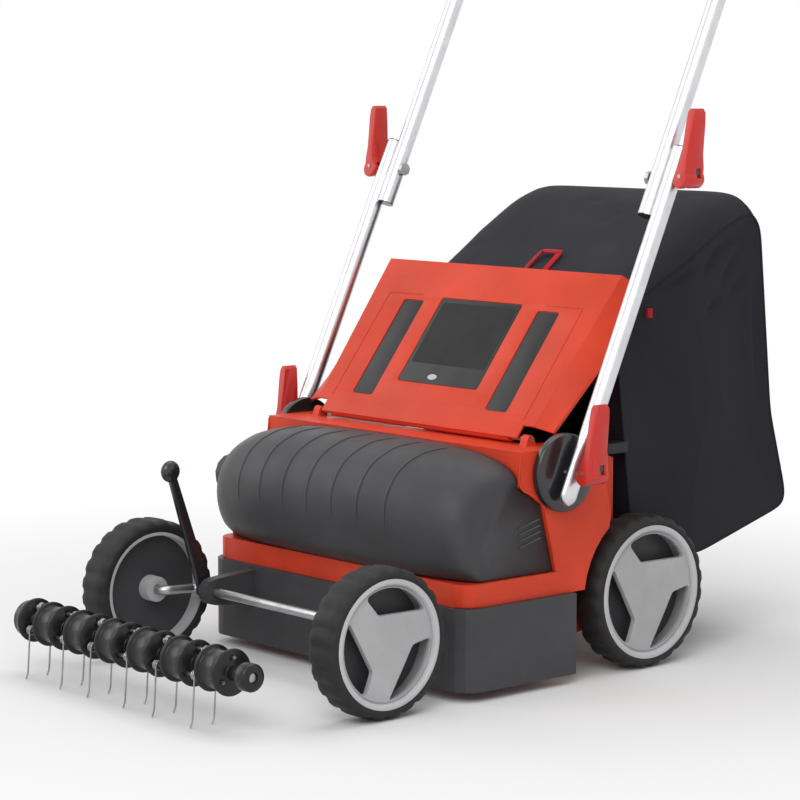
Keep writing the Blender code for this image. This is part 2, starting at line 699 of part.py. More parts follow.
def make_front_axle():
    """Make the cranked front axle and the depth lever fixed on it."""
    body("front_axle", (0, CRANK_Y, CRANK_Z), "machine")
    end = WHEEL_OUTER_X - HUB_WALL - GAP
    cheek = CRANK_CHEEK_X
    corners = ((-end, FRONT_AXLE_Y, FRONT_RADIUS), (-cheek, FRONT_AXLE_Y, FRONT_RADIUS),
               (-cheek, CRANK_Y, CRANK_Z), (cheek, CRANK_Y, CRANK_Z),
               (cheek, FRONT_AXLE_Y, FRONT_RADIUS), (end, FRONT_AXLE_Y, FRONT_RADIUS))
    add("front_crank_axle", sweep(bend(corners, CRANK_BEND, 2), AXLE_RADIUS, 10),
        "steel", "front_axle")
    ahead = Vector((-math.cos(LEVER_LEAN), math.sin(LEVER_LEAN)))
    across = Vector((-ahead.y, ahead.x))
    base = Vector((CRANK_Y, CRANK_Z))
    tip = base + ahead * LEVER_LENGTH
    heading = math.atan2(ahead.y, ahead.x)
    outline = arc(base, LEVER_WIDTH / 2, heading + math.pi / 2,
                  heading + 3 * math.pi / 2, 6)
    outline += [tuple(tip - across * LEVER_WIDTH * 0.3),
                tuple(tip + across * LEVER_WIDTH * 0.3)]
    x0 = LEVER_X - LEVER_THICKNESS / 2
    x1 = LEVER_X + LEVER_THICKNESS / 2
    lever = add("depth_lever", prism(outline, x0, x1), "dark_plastic", "front_axle")
    knob = turned(((0, x0 - 0.004), (KNOB_RADIUS * 0.8, x0 - 0.004),
                   (KNOB_RADIUS, x0), (KNOB_RADIUS, x1),
                   (KNOB_RADIUS * 0.8, x1 + 0.004), (0, x1 + 0.004)),
                  (0, tip.x, tip.y), 14)
    weld(lever, "knob", knob, "front_axle")
    cut(lever, "lever_bore", peg((CRANK_Y, CRANK_Z), AXLE_RADIUS + GAP,
                                 x0 - 0.01, x1 + 0.01), "front_axle")


def make_rear_axle():
    """Make the plain rod through the cheeks that the rear wheels turn on."""
    end = WHEEL_OUTER_X - HUB_WALL - GAP
    add("rear_axle", peg((REAR_Y, REAR_RADIUS), AXLE_RADIUS, -end, end),
        "steel", "machine")


def blade_outline():
    """Return the outline of one knife plate with its wings."""
    points = []
    for k in range(BLADE_WINGS):
        turn = k * 2 * math.pi / BLADE_WINGS
        for radius, offset in ((BLADE_ROOT_RADIUS, -0.62), (BLADE_TIP_RADIUS, -0.10),
                               (BLADE_TIP_RADIUS, 0.06), (BLADE_ROOT_RADIUS, 0.42)):
            angle = turn + offset
            points.append((ROLLER_Y + radius * math.cos(angle),
                           ROLLER_Z + radius * math.sin(angle)))
    return points


def pulley_profile(radius, bore):
    """Return the turned profile of a flat pulley between two flanges."""
    half = PULLEY_WIDTH / 2
    edge = half - 0.002
    rim = radius + PULLEY_FLANGE
    return ((bore, BELT_X - half), (rim, BELT_X - half), (rim, BELT_X - edge),
            (radius, BELT_X - edge), (radius, BELT_X + edge), (rim, BELT_X + edge),
            (rim, BELT_X + half), (bore, BELT_X + half))


def make_blade_roller():
    """Make the driven roller: shaft with pulley, knives and two bearings."""
    spot = (ROLLER_Y, ROLLER_Z)
    body("blade_roller", (0, *spot), "machine")
    left_end = BELT_X - PULLEY_WIDTH / 2 - 0.004
    shaft = add("blade_shaft", peg(spot, ROLLER_SHAFT_RADIUS, left_end,
                                   CHEEK_OUTER + 0.008, ROLLER_SIDES),
                "steel", "blade_roller")
    profile = pulley_profile(ROLLER_PULLEY_RADIUS, ROLLER_SHAFT_RADIUS / 2)
    weld(shaft, "roller_pulley", turned(profile, (0, *spot), 16), "blade_roller")
    half = ROLLER_HALF
    bore = ROLLER_SHAFT_RADIUS + GAP
    knives = add("scarifier_knives", turned((
        (bore, -half), (SLEEVE_RADIUS, -half), (SLEEVE_RADIUS, half), (bore, half)),
        (0, *spot), ROLLER_SIDES), "steel", "blade_roller")
    for k in range(BLADE_COUNT):
        x = -half + BLADE_PITCH * (k + 0.5)
        turn = Matrix.Rotation(math.radians(30) * k, 4, "X")
        plate = prism(blade_outline(), x - BLADE_THICKNESS / 2, x + BLADE_THICKNESS / 2)
        move = Matrix.Translation((0, *spot)) @ turn @ Matrix.Translation(
            (0, -spot[0], -spot[1]))
        plate.transform(move)
        weld(knives, "knife_%02d" % (k + 1), plate, "blade_roller")
    cut(knives, "knife_bore", peg(spot, bore, -half - 0.01, half + 0.01,
                                  ROLLER_SIDES), "blade_roller")
    for side in (-1, 1):
        flange = CHEEK_INNER - BEARING_FLANGE - GAP
        profile = ((bore, flange), (BEARING_FLANGE_RADIUS, flange),
                   (BEARING_FLANGE_RADIUS, CHEEK_INNER - GAP),
                   (BEARING_RADIUS, CHEEK_INNER - GAP),
                   (BEARING_RADIUS, CHEEK_OUTER + 0.003), (bore, CHEEK_OUTER + 0.003))
        add("roller_bearing_" + side_name(side),
            turned(profile, (0, *spot), 14, side), "steel", "machine")


def make_motor():
    """Make the motor, its turning shaft with pulley, the belt and its cover."""
    centre = motor_centre()
    body("motor_rotor", (0, *centre), "machine")
    foot, head = bulkhead()
    along = (head - foot).normalized()
    out = Vector((-along.y, along.x))
    bore = MOTOR_SHAFT_RADIUS + GAP
    rim = MOTOR_RADIUS - 0.006
    motor = add("motor", turned((
        (bore, MOTOR_X0), (rim, MOTOR_X0), (MOTOR_RADIUS, MOTOR_X0 + 0.006),
        (MOTOR_RADIUS, MOTOR_X1 - 0.006), (rim, MOTOR_X1), (bore, MOTOR_X1)),
        (0, *centre), 16), "steel", "machine")
    middle = Vector(centre)
    wall = middle - out * (MOTOR_OFFSET - RUN_GAP)
    for k, x in enumerate((MOTOR_X0 + 0.03, MOTOR_X1 - 0.05)):
        half = along * 0.022
        top = out * (MOTOR_OFFSET - MOTOR_RADIUS + 0.012)
        outline = [tuple(wall - half), tuple(wall + half),
                   tuple(wall + half + top), tuple(wall - half + top)]
        weld(motor, "foot_%d" % k, prism(outline, x, x + 0.02))
    end = BELT_X - PULLEY_WIDTH / 2 - 0.003
    shaft = add("motor_shaft", peg(centre, MOTOR_SHAFT_RADIUS, end,
                                   MOTOR_X1 + 0.004), "steel", "motor_rotor")
    profile = pulley_profile(MOTOR_PULLEY_RADIUS, MOTOR_SHAFT_RADIUS / 2)
    weld(shaft, "motor_pulley", turned(profile, (0, *centre), 12), "motor_rotor")
    circles = belt_circles()
    outer = racetrack(*circles, BELT_GAP + BELT_THICKNESS, 10)
    inner = racetrack(*circles, BELT_GAP, 10)
    x0, x1 = BELT_X - BELT_WIDTH / 2, BELT_X + BELT_WIDTH / 2
    belt = bmesh.new()
    rings = [[belt.verts.new((x, *point)) for point in outline]
             for x, outline in ((x0, outer), (x1, outer), (x1, inner), (x0, inner))]
    count = len(outer)
    for k in range(4):
        for i in range(count):
            j = (i + 1) % count
            belt.faces.new((rings[k][i], rings[k][j],
                            rings[(k + 1) % 4][j], rings[(k + 1) % 4][i]))
    add("drive_belt", belt, "belt_rubber", "machine")
    shell = racetrack(*circles, BELT_COVER_MARGIN)
    cover = add("belt_cover", prism(shell, BELT_COVER_OUTER_X, -CHEEK_OUTER - GAP),
                "dark_plastic", "machine")
    hollow = racetrack(*circles, BELT_COVER_MARGIN - BELT_COVER_WALL)
    cut(cover, "belt_room", prism(hollow, BELT_COVER_OUTER_X + BELT_COVER_WALL,
                                  -CHEEK_OUTER + 0.01))


def cover_section(place, inset):
    """Return the cover's section, drawn in by inset, at a place from -1 to 1."""
    dome = (1 - min(abs(place), 1.0) ** 3.4) ** 0.5
    front = Vector((FRONT_Y, 0))
    outer = [front + Vector(e).lerp(Vector(m), dome)
             for m, e in zip(COVER_MIDDLE, COVER_ENDS)]
    heart = front + Vector(COVER_HEART)
    if inset:
        outer = [p + (heart - p).normalized() * inset for p in outer]
        outer[0].y = BAND_TOP - 0.01
        outer[-1].x = LEDGE_FRONT_Y + 0.12
        back = ((0.12, 0.23), (0.12, 0.19), (0.12, BAND_TOP - 0.01))
    else:
        back = ((LEDGE_FRONT_Y - RUN_GAP, POD_TIP_Z - 2 * RUN_GAP),
                (POD_KNEE[0] - 2 * RUN_GAP, POD_KNEE[1] - RUN_GAP),
                (POD_FOOT_Y - 2 * RUN_GAP, BAND_TOP + RUN_GAP))
    return [tuple(p) for p in outer] + list(back)


def make_motor_cover():
    """Make the dark domed cover over the motor, open behind and below."""
    def shell(half, inset):
        rings = []
        for k in range(COVER_SECTIONS):
            x = -half * math.cos(math.pi * k / (COVER_SECTIONS - 1))
            rings.append([(x, y, z) for y, z in cover_section(x / half, inset)])
        return curved(rings)
    cover = add("motor_cover", shell(COVER_HALF, 0), "dark_plastic", "machine", 40)
    belt = racetrack(*belt_circles(), BELT_COVER_MARGIN + RUN_GAP)
    cut(cover, "belt_end", prism(belt, -CHEEK_OUTER + RUN_GAP,
                                 BELT_COVER_OUTER_X - RUN_GAP))
    cut(cover, "motor_room", shell(COVER_HALF - COVER_WALL, COVER_WALL))
    slots = [block(0.06, COVER_HALF - 0.0225, FRONT_Y - 0.108, FRONT_Y + 0.032,
                   z, z + 0.0035) for z in (0.162, 0.174, 0.186, 0.198)]
    cut(cover, "slots", merged(*slots))


def flap_point(x, along, up):
    """Return a point given in the flap's own plane."""
    base = Vector((x, FLAP_PIVOT_Y, FLAP_PIVOT_Z))
    return base + FLAP_DIR * along + FLAP_UP * up


def flap_plate(x0, x1, low, high, under, over):
    """Make a flat plate that lies in the flap's plane."""
    rings = []
    for x in (x0, x1):
        rings.append([flap_point(x, s, n) for s, n in
                      ((low, under), (high, under), (high, over), (low, over))])
    return loft(rings)


def make_flap():
    """Make the red flap above the motor, its panel and its two inlays."""
    body("rear_flap", (0, FLAP_PIVOT_Y, FLAP_PIVOT_Z), "machine")
    foot = FLAP_FOOT
    inset = FLAP_WALL

    def hood(grow, rise, depth, start, stop):
        rings = []
        for along, top, deep in ((start, FLAP_LOW_HALF, 0.004),
                                 (FLAP_LENGTH * 0.62, FLAP_MIDDLE_HALF, depth),
                                 (stop, FLAP_TOP_HALF, depth * 0.8)):
            rings.append([flap_point(x, along, n) for x, n in (
                (-FLAP_HALF + grow, -deep), (FLAP_HALF - grow, -deep),
                (FLAP_HALF - grow, -deep + 0.004), (top - grow, rise),
                (-top + grow, rise), (-FLAP_HALF + grow, -deep + 0.004))])
        return curved(rings)
    flap = add("rear_flap_shell", hood(0, FLAP_RISE, FLAP_DEPTH, foot, FLAP_LENGTH),
               "red_plastic", "rear_flap", 30)
    hollow = []
    for along, top, deep in ((foot - 0.01, FLAP_LOW_HALF, 0.05),
                             (FLAP_LENGTH - inset, FLAP_TOP_HALF, 0.06)):
        low_half = FLAP_HALF - inset
        hollow.append([flap_point(x, along, n) for x, n in (
            (-low_half, -deep), (low_half, -deep), (low_half, -0.010),
            (top - inset, FLAP_RISE - inset), (-top + inset, FLAP_RISE - inset),
            (-low_half, -0.010))])
    cut(flap, "flap_room", curved(hollow), "rear_flap")
    sleeve = peg((FLAP_PIVOT_Y, FLAP_PIVOT_Z), FLAP_SLEEVE_RADIUS,
                 -FLAP_SLEEVE_HALF, FLAP_SLEEVE_HALF, 12)
    weld(flap, "flap_sleeve", sleeve, "rear_flap")
    cut(flap, "flap_bore", peg((FLAP_PIVOT_Y, FLAP_PIVOT_Z), FLAP_ROD_RADIUS + GAP,
                               -FLAP_SLEEVE_HALF - 0.01, FLAP_SLEEVE_HALF + 0.01),
        "rear_flap")
    for side in (-1, 1):
        x0, x1 = sorted((side * FLAP_NOTCH_X, side * (FLAP_HALF + 0.01)))
        cut(flap, "notch_" + side_name(side),
            flap_plate(x0, x1, foot - 0.02, FLAP_NOTCH, -0.02, 0.02), "rear_flap")
    floor = FLAP_RISE - INLAY_DEPTH
    insets = [("flap_panel", -PANEL_HALF, PANEL_HALF, PANEL_BOTTOM, PANEL_TOP)]
    for side in (-1, 1):
        x0, x1 = sorted((side * INLAY_INNER, side * INLAY_OUTER))
        insets.append(("flap_inlay_" + side_name(side), x0, x1,
                       INLAY_BOTTOM, INLAY_TOP))
    for name, x0, x1, low, high in insets:
        pocket = flap_plate(x0, x1, low, high, floor, FLAP_RISE + 0.01)
        cut(flap, name, pocket, "rear_flap")
        plate = flap_plate(x0 + GAP, x1 - GAP, low + GAP, high - GAP,
                           floor + GAP, FLAP_RISE - GAP)
        add(name, plate, "gloss_dark", "rear_flap", 0)
    add("flap_hinge_rod", peg((FLAP_PIVOT_Y, FLAP_PIVOT_Z), FLAP_ROD_RADIUS,
                              -FLAP_ROD_HALF, FLAP_ROD_HALF), "steel", "machine")


def handle_point(x, along):
    """Return a point at a length along the handle from its lower bolt."""
    return Vector((x, PIVOT_Y, PIVOT_Z)) + HANDLE_DIR * along


def make_bolt(name, owner, spot, x0, x1):
    """Make a clamp bolt with a round nut at its inner end."""
    side = 1 if x1 > x0 else -1
    inner, outer = abs(x0), abs(x1)
    profile = ((0, inner), (BOLT_NUT_RADIUS, inner),
               (BOLT_NUT_RADIUS, inner + BOLT_NUT_LENGTH),
               (BOLT_RADIUS, inner + BOLT_NUT_LENGTH), (BOLT_RADIUS, outer),
               (0, outer))
    add(name, turned(profile, (0, *spot), 8, side), "steel", owner)


def make_clamp(name, parent, side, spot):
    """Make a red cam lever that swings out from the tube on a bolt's end."""
    cam_x = TUBE_X + TUBE_RADIUS + CLAMP_CAM_RADIUS + RUN_GAP
    body(name, (side * cam_x, *spot), parent)
    top = spot[1] + CLAMP_LENGTH
    inner = cam_x + 0.0005
    outer = inner + CLAMP_THICKNESS
    low = spot[1]
    outline = arc((cam_x, low), CLAMP_CAM_RADIUS, math.radians(150),
                  math.radians(400), 9)
    outline += [(outer, low + 0.020), (outer + 0.002, low + 0.050),
                (outer, top - 0.004), (outer - 0.004, top), (inner, top),
                (inner - 0.001, low + 0.030)]
    front = [(side * x, spot[0] - CLAMP_FRONT
              + CLAMP_TAPER * (z - low) / CLAMP_LENGTH, z) for x, z in outline]
    back = [(side * x, spot[0] + CLAMP_BACK, z) for x, z in outline]
    lever = add("clamp_lever_" + name.split("clamp_")[1], loft([front, back]),
                "red_plastic", name)
    reach = BOLT_RADIUS + GAP
    x0, x1 = sorted((side * (cam_x - 0.02), side * (cam_x + 0.006)))
    slot = block(x0, x1, spot[0] - reach, spot[0] + reach, low - 0.02, low + 0.008)
    cut(lever, name + "_fork", slot, name)


def make_handle():
    """Make the folding handle: pivots, lower tubes, upper bar and clamps."""
    pivot = (PIVOT_Y, PIVOT_Z)
    body("handle_lower", (0, *pivot), "machine")
    disc_face = TUBE_X - TUBE_RADIUS - RUN_GAP
    bolt_end = TUBE_X + TUBE_RADIUS + RUN_GAP + 0.006
    housing_out = HOUSING_HALF + GAP
    for side in (-1, 1):
        name = side_name(side)
        bore = BOLT_RADIUS + GAP
        disc = turned((
            (bore, housing_out), (DISC_RADIUS - 0.003, housing_out),
            (DISC_RADIUS, housing_out + DISC_EDGE),
            (DISC_RADIUS - 0.001, disc_face - DISC_EDGE),
            (DISC_RADIUS - 0.012, disc_face - 0.0005), (bore, disc_face)),
            (0, *pivot), 24, side)
        add("pivot_disc_" + name, disc, "gloss_dark", "machine")
        ends = [handle_point(side * TUBE_X, -TUBE_FOOT),
                handle_point(side * TUBE_X, LOWER_TUBE_TOP)]
        tube = add("lower_tube_" + name, sweep(ends, TUBE_RADIUS, 12),
                   "tube_silver", "handle_lower")
        x0, x1 = sorted((side * (TUBE_X - 0.03), side * (TUBE_X + 0.03)))
        cut(tube, "lower_hole_" + name, peg(pivot, bore, x0, x1), "handle_lower")
        upper = handle_point(0, UPPER_PIVOT)
        cut(tube, "upper_hole_" + name, peg((upper.y, upper.z), bore, x0, x1),
            "handle_lower")
        make_bolt("lower_bolt_" + name, "handle_lower", pivot,
                  side * (HOUSING_HALF - HOUSING_WALL - BOLT_NUT_LENGTH - GAP),
                  side * bolt_end)
        make_clamp("clamp_lower_" + name, "handle_lower", side, pivot)
    for side in (-1, 1):
        x0, x1 = sorted((side * (HOUSING_HALF - 0.02), side * (HOUSING_HALF + 0.02)))
        cut(bpy.data.objects["main_housing"], "bolt_hole_" + side_name(side),
            peg(pivot, BOLT_RADIUS + GAP, x0, x1))
    make_upper_handle()


def make_upper_handle():
    """Make the U-shaped upper bar with all that sits on it."""
    joint = handle_point(0, UPPER_PIVOT)
    spot = (joint.y, joint.z)
    body("handle_upper", (0, *spot), "handle_lower")
    leg = TUBE_X - 2 * TUBE_RADIUS - LEG_GAP
    start, top = UPPER_PIVOT - UPPER_FOOT, UPPER_PIVOT + UPPER_TOP
    corners = (handle_point(-leg, start), handle_point(-leg, top),
               handle_point(leg, top), handle_point(leg, start))
    bar = add("upper_handle", sweep(bend(corners, UPPER_BEND, 4), TUBE_RADIUS, 12),
              "tube_silver", "handle_upper")
    cross = handle_point(0, top)
    centre = (cross.y, cross.z)
    bore = BOLT_RADIUS + GAP
    for side in (-1, 1):
        name = side_name(side)
        x0, x1 = sorted((side * (leg - 0.03), side * (leg + 0.03)))
        cut(bar, "bar_hole_" + name, peg(spot, bore, x0, x1), "handle_upper")
        make_bolt("upper_bolt_" + name, "handle_upper", spot,
                  side * (leg - TUBE_RADIUS - BOLT_NUT_LENGTH - GAP),
                  side * (TUBE_X + TUBE_RADIUS + RUN_GAP + 0.006))
        make_clamp("clamp_upper_" + name, "handle_upper", side, spot)
    sleeve = TUBE_RADIUS + GAP
    soft = GRIP_RADIUS - 0.003
    add("handle_grip", turned((
        (sleeve, -GRIP_HALF), (soft, -GRIP_HALF), (GRIP_RADIUS, -GRIP_HALF + 0.004),
        (GRIP_RADIUS, GRIP_HALF - 0.004), (soft, GRIP_HALF), (sleeve, GRIP_HALF)),
        (0, *centre), 14), "grip_rubber", "handle_upper")
    make_switch(centre)


def make_switch(centre):
    """Make the switch box with its inlet, button and bail."""
    y, z = centre
    low, high = z - BOX_HEIGHT * 0.62, z + BOX_HEIGHT * 0.38
    front, back = y - BOX_DEPTH * 0.55, y + BOX_DEPTH * 0.45
    outline = rounded(((front, low, 0.010), (back, low, 0.010),
                       (back, high, 0.012), (front, high, 0.012)), 3)
    box = add("switch_box", prism(outline, BOX_X0, BOX_X1), "dark_plastic",
              "handle_upper")
    cut(box, "box_bore", peg(centre, TUBE_RADIUS + GAP, BOX_X0 - 0.01,
                             BOX_X1 + 0.01, 16), "handle_upper")
    middle = (BOX_X0 + BOX_X1) / 2
    seat = Vector((middle, y - 0.004, low))
    wall = 0.0025
    outer, inner = INLET_RADIUS, INLET_RADIUS - wall
    rings = [[seat + Vector((r * math.cos(a), r * math.sin(a), -h))
              for a in (2 * math.pi * k / 16 for k in range(16))]
             for r, h in ((outer, -0.002), (outer, INLET_LENGTH), (inner, INLET_LENGTH),
                          (inner, 0.006))]
    weld(box, "inlet", loft(rings), "handle_upper")
    pins = [prism(circle((seat.x + dx, seat.y), 0.0022, 8),
                  seat.z - INLET_LENGTH + 0.006, seat.z - 0.004, "Z")
            for dx in (-0.0065, 0.0065)]
    weld(box, "inlet_pins", merged(*pins), "handle_upper")
    body("safety_button", (middle, y, high), "handle_upper")
    reach = BUTTON_RADIUS + GAP
    well = prism(circle((middle, y), reach, 14), high - 0.008, high + 0.01, "Z")
    cut(box, "button_well", well, "handle_upper")
    button = prism(circle((middle, y), BUTTON_RADIUS, 14), high - 0.003,
                   high + BUTTON_RISE, "Z")
    add("safety_button", button, "red_plastic", "safety_button")
    pivot = Vector((0, y, z)) - HANDLE_DIR * BAIL_OFFSET
    body("switch_bail", pivot, "handle_upper")
    out = Vector((0, -math.sin(HANDLE_ANGLE), math.cos(HANDLE_ANGLE)))
    reach = out * BAIL_REACH - HANDLE_DIR * 0.004
    side_x = BAIL_HALF
    far = Vector((-side_x, 0, 0))
    near = Vector((side_x, 0, 0))
    corners = (pivot + Vector((-side_x - 0.012, 0, 0)), pivot + far,
               pivot + far + reach, pivot + near + reach, pivot + near,
               pivot + Vector((BOX_X0 + 0.006, 0, 0)))
    add("switch_bail", sweep(bend(corners, 0.009, 2), BAIL_RADIUS, 8),
        "red_plastic", "switch_bail")
    cut(box, "bail_bore", peg((pivot.y, pivot.z), BAIL_RADIUS + GAP,
                              BOX_X0 - 0.01, BOX_X0 + 0.008, 12), "handle_upper")
    clip_x0, clip_x1 = -side_x - 0.012, -side_x - 0.022
    make_bail_clip(pivot, centre, clip_x0, clip_x1)


def make_bail_clip(pivot, centre, x0, x1):
    """Make the clip on the crossbar that carries the bail's far end."""
    reach = TUBE_RADIUS + 0.0035
    outline = racetrack((centre[0], centre[1], reach),
                        (pivot.y, pivot.z, BAIL_RADIUS + 0.003), 0)
    low, high = sorted((x0 + 0.008, x1))
    clip = add("bail_clip", prism(outline, low - 0.012, high - 0.012),
               "dark_plastic", "handle_upper")
    cut(clip, "clip_bar", peg(centre, TUBE_RADIUS + GAP, low - 0.03, high, 16),
        "handle_upper")


def bag_section(x, inset=0.0):
    """Return the bag's side outline at one x, crowned between the sides."""
    share = min(abs(x) / BAG_HALF, 1.0)
    crown = BAG_CROWN * (1 - share ** BAG_CROWN_POWER)
    points = []
    for y, z in BAG_OUTLINE:
        rise = crown if z > 0.43 else 0.0
        bulge = 0.004 * (1 - share ** 2) if y > BAG_BULGE_Y and z < 0.5 else 0.0
        points.append(Vector((y - bulge, z + rise)))
    if inset:
        points = [p + (BAG_HEART - p).normalized() * inset * 1.3 for p in points]
    return points


def make_bag():
    """Make the grass bag with its mouth, frame, hooks and handle."""
    body("grass_bag", (0, REAR_Y, BAG_HEART.y), "machine")

    def shell(half, inset):
        rings = []
        for k in range(BAG_SECTIONS):
            x = -half * math.cos(math.pi * k / (BAG_SECTIONS - 1))
            narrow = BAG_FRONT_HALF / BAG_HALF
            ring = []
            for point in bag_section(x, inset):
                depth = min(max((point.x - CHEEK_BACK_Y) / BAG_TAPER_LENGTH, 0.0), 1.0)
                ring.append((x * (narrow + (1 - narrow) * depth), point.x, point.y))
            rings.append(ring)
        bm = loft(rings)
        sides = [face for face in bm.faces if len(face.verts) > 4]
        bmesh.ops.poke(bm, faces=sides)
        bmesh.ops.triangulate(bm, faces=bm.faces[:], quad_method="FIXED")
        return bm
    bag = add("bag_shell", shell(BAG_HALF, 0), "bag_fabric", "grass_bag", 50)
    cut(bag, "bag_room", shell(BAG_HALF - BAG_WALL, BAG_WALL), "grass_bag")
    low, high = Vector((0, *MOUTH_LOW)), Vector((0, *MOUTH_HIGH))
    mouth = [(low.y - 0.02, low.z), (low.y + 0.02, low.z),
             (high.y + 0.03, high.z), (high.y - 0.03, high.z)]
    cut(bag, "bag_mouth", prism(mouth, -MOUTH_HALF, MOUTH_HALF), "grass_bag")
    face = (high - low).normalized()
    front = Vector((0, -face.z, face.y))
    base = low + front * (BAG_WALL * 0.3 + FRAME_BAR / 2)
    length = (high - low).length
    outer_half = MOUTH_HALF + FRAME_BAR

    def slab(x0, x1, s0, s1, n0=-FRAME_BAR / 2, n1=FRAME_BAR / 2):
        return loft([[base + Vector((x, 0, 0)) + face * s + front * n
                      for s, n in ((s0, n0), (s1, n0), (s1, n1), (s0, n1))]
                     for x in (x0, x1)])
    frame = add("bag_frame", slab(-outer_half, outer_half, -FRAME_BAR,
                                  length + FRAME_BAR), "dark_plastic", "grass_bag")
    cut(frame, "frame_mouth", slab(-MOUTH_HALF, MOUTH_HALF, 0, length, -0.02, 0.02),
        "grass_bag")
    hook_low = CHEEK_BACK_Z + GAP
    for side in (-1, 1):
        centre = side * (CHEEK_OUTER - HOUSING_WALL / 2)
        x0, x1 = sorted((side * (outer_half - 0.005), centre + side * HOOK_WIDTH / 2))
        arm = block(x0, x1, CHEEK_BACK_Y - 0.014, REAR_Y + 0.006,
                    hook_low + 0.0052, hook_low + 0.018)
        weld(frame, "hook_" + side_name(side), arm, "grass_bag")
    (back_y, back_z), (front_y, front_z) = BAG_OUTLINE[-2:]
    slope = (back_z - front_z) / (back_y - front_y)
    crown = BAG_CROWN * (1 - (HANDLE_HALF / BAG_HALF) ** BAG_CROWN_POWER)

    def lifted_point(x, behind, lift):
        rise = crown + slope * (behind - front_y) + lift
        return (x, behind + lift * 0.6, front_z + rise + HANDLE_SEAT)
    lifted = [lifted_point(-HANDLE_HALF, front_y + 0.032, 0),
              lifted_point(-HANDLE_HALF, front_y + 0.056, 0.020),
              lifted_point(HANDLE_HALF, front_y + 0.056, 0.020),
              lifted_point(HANDLE_HALF, front_y + 0.032, 0)]
    add("bag_handle", sweep(bend(lifted, 0.008, 2), 0.003, 8), "webbing_red",
        "grass_bag")


def spool_profile(double):
    """Return the turned profile of a reel spool with one or two discs."""
    bore = REEL_SHAFT_RADIUS + GAP
    reach = REEL_PITCH - GAP / 2
    half = REEL_PITCH / 2
    thick = REEL_DISC / 2
    sleeve = REEL_SLEEVE_RADIUS
    right = [(sleeve, half + thick), (REEL_DISC_RADIUS, half + thick),
             (REEL_DISC_RADIUS, half - thick), (REEL_DRUM_RADIUS, half - thick)]
    right = [(bore, reach), (sleeve, reach)] + right
    if double:
        left = [(radius, -x) for radius, x in reversed(right)]
    else:
        left = [(REEL_DRUM_RADIUS, 0.0), (bore, 0.0)]
    return right + left


def spring_path(x, rod, heading):
    """Return the points of one spring: foot in the rod, curls, tine and tip."""
    last = heading - math.pi / 2
    turns = 2 * math.pi * SPRING_CURLS
    steps = int(SPRING_CURLS * SPRING_POINTS)
    span = SPRING_PITCH * SPRING_CURLS
    path = []
    for k in range(steps + 1):
        angle = last - turns + turns * k / steps
        path.append(Vector((x + span * k / steps,
                            rod.x + SPRING_RADIUS * math.cos(angle),
                            rod.y + SPRING_RADIUS * math.sin(angle))))
    foot = Vector((x, rod.x, rod.y))
    run = Vector((0, math.cos(heading), math.sin(heading)))
    tip = Vector((0, math.cos(heading + TIP_BEND), math.sin(heading + TIP_BEND)))
    path.append(path[-1] + run * TINE_LENGTH)
    path.append(path[-1] + tip * TIP_LENGTH)
    return [foot] + path


def least_spring_gap():
    """Return the least gap between two curls of a spring, from its points."""
    path = spring_path(0, Vector((0, 0)), TINE_DOWN)[1:-2]
    least = min((a - b).length for i, a in enumerate(path)
                for b in path[i + SPRING_POINTS // 2 + 2:])
    return least - 2 * SPRING_WIRE


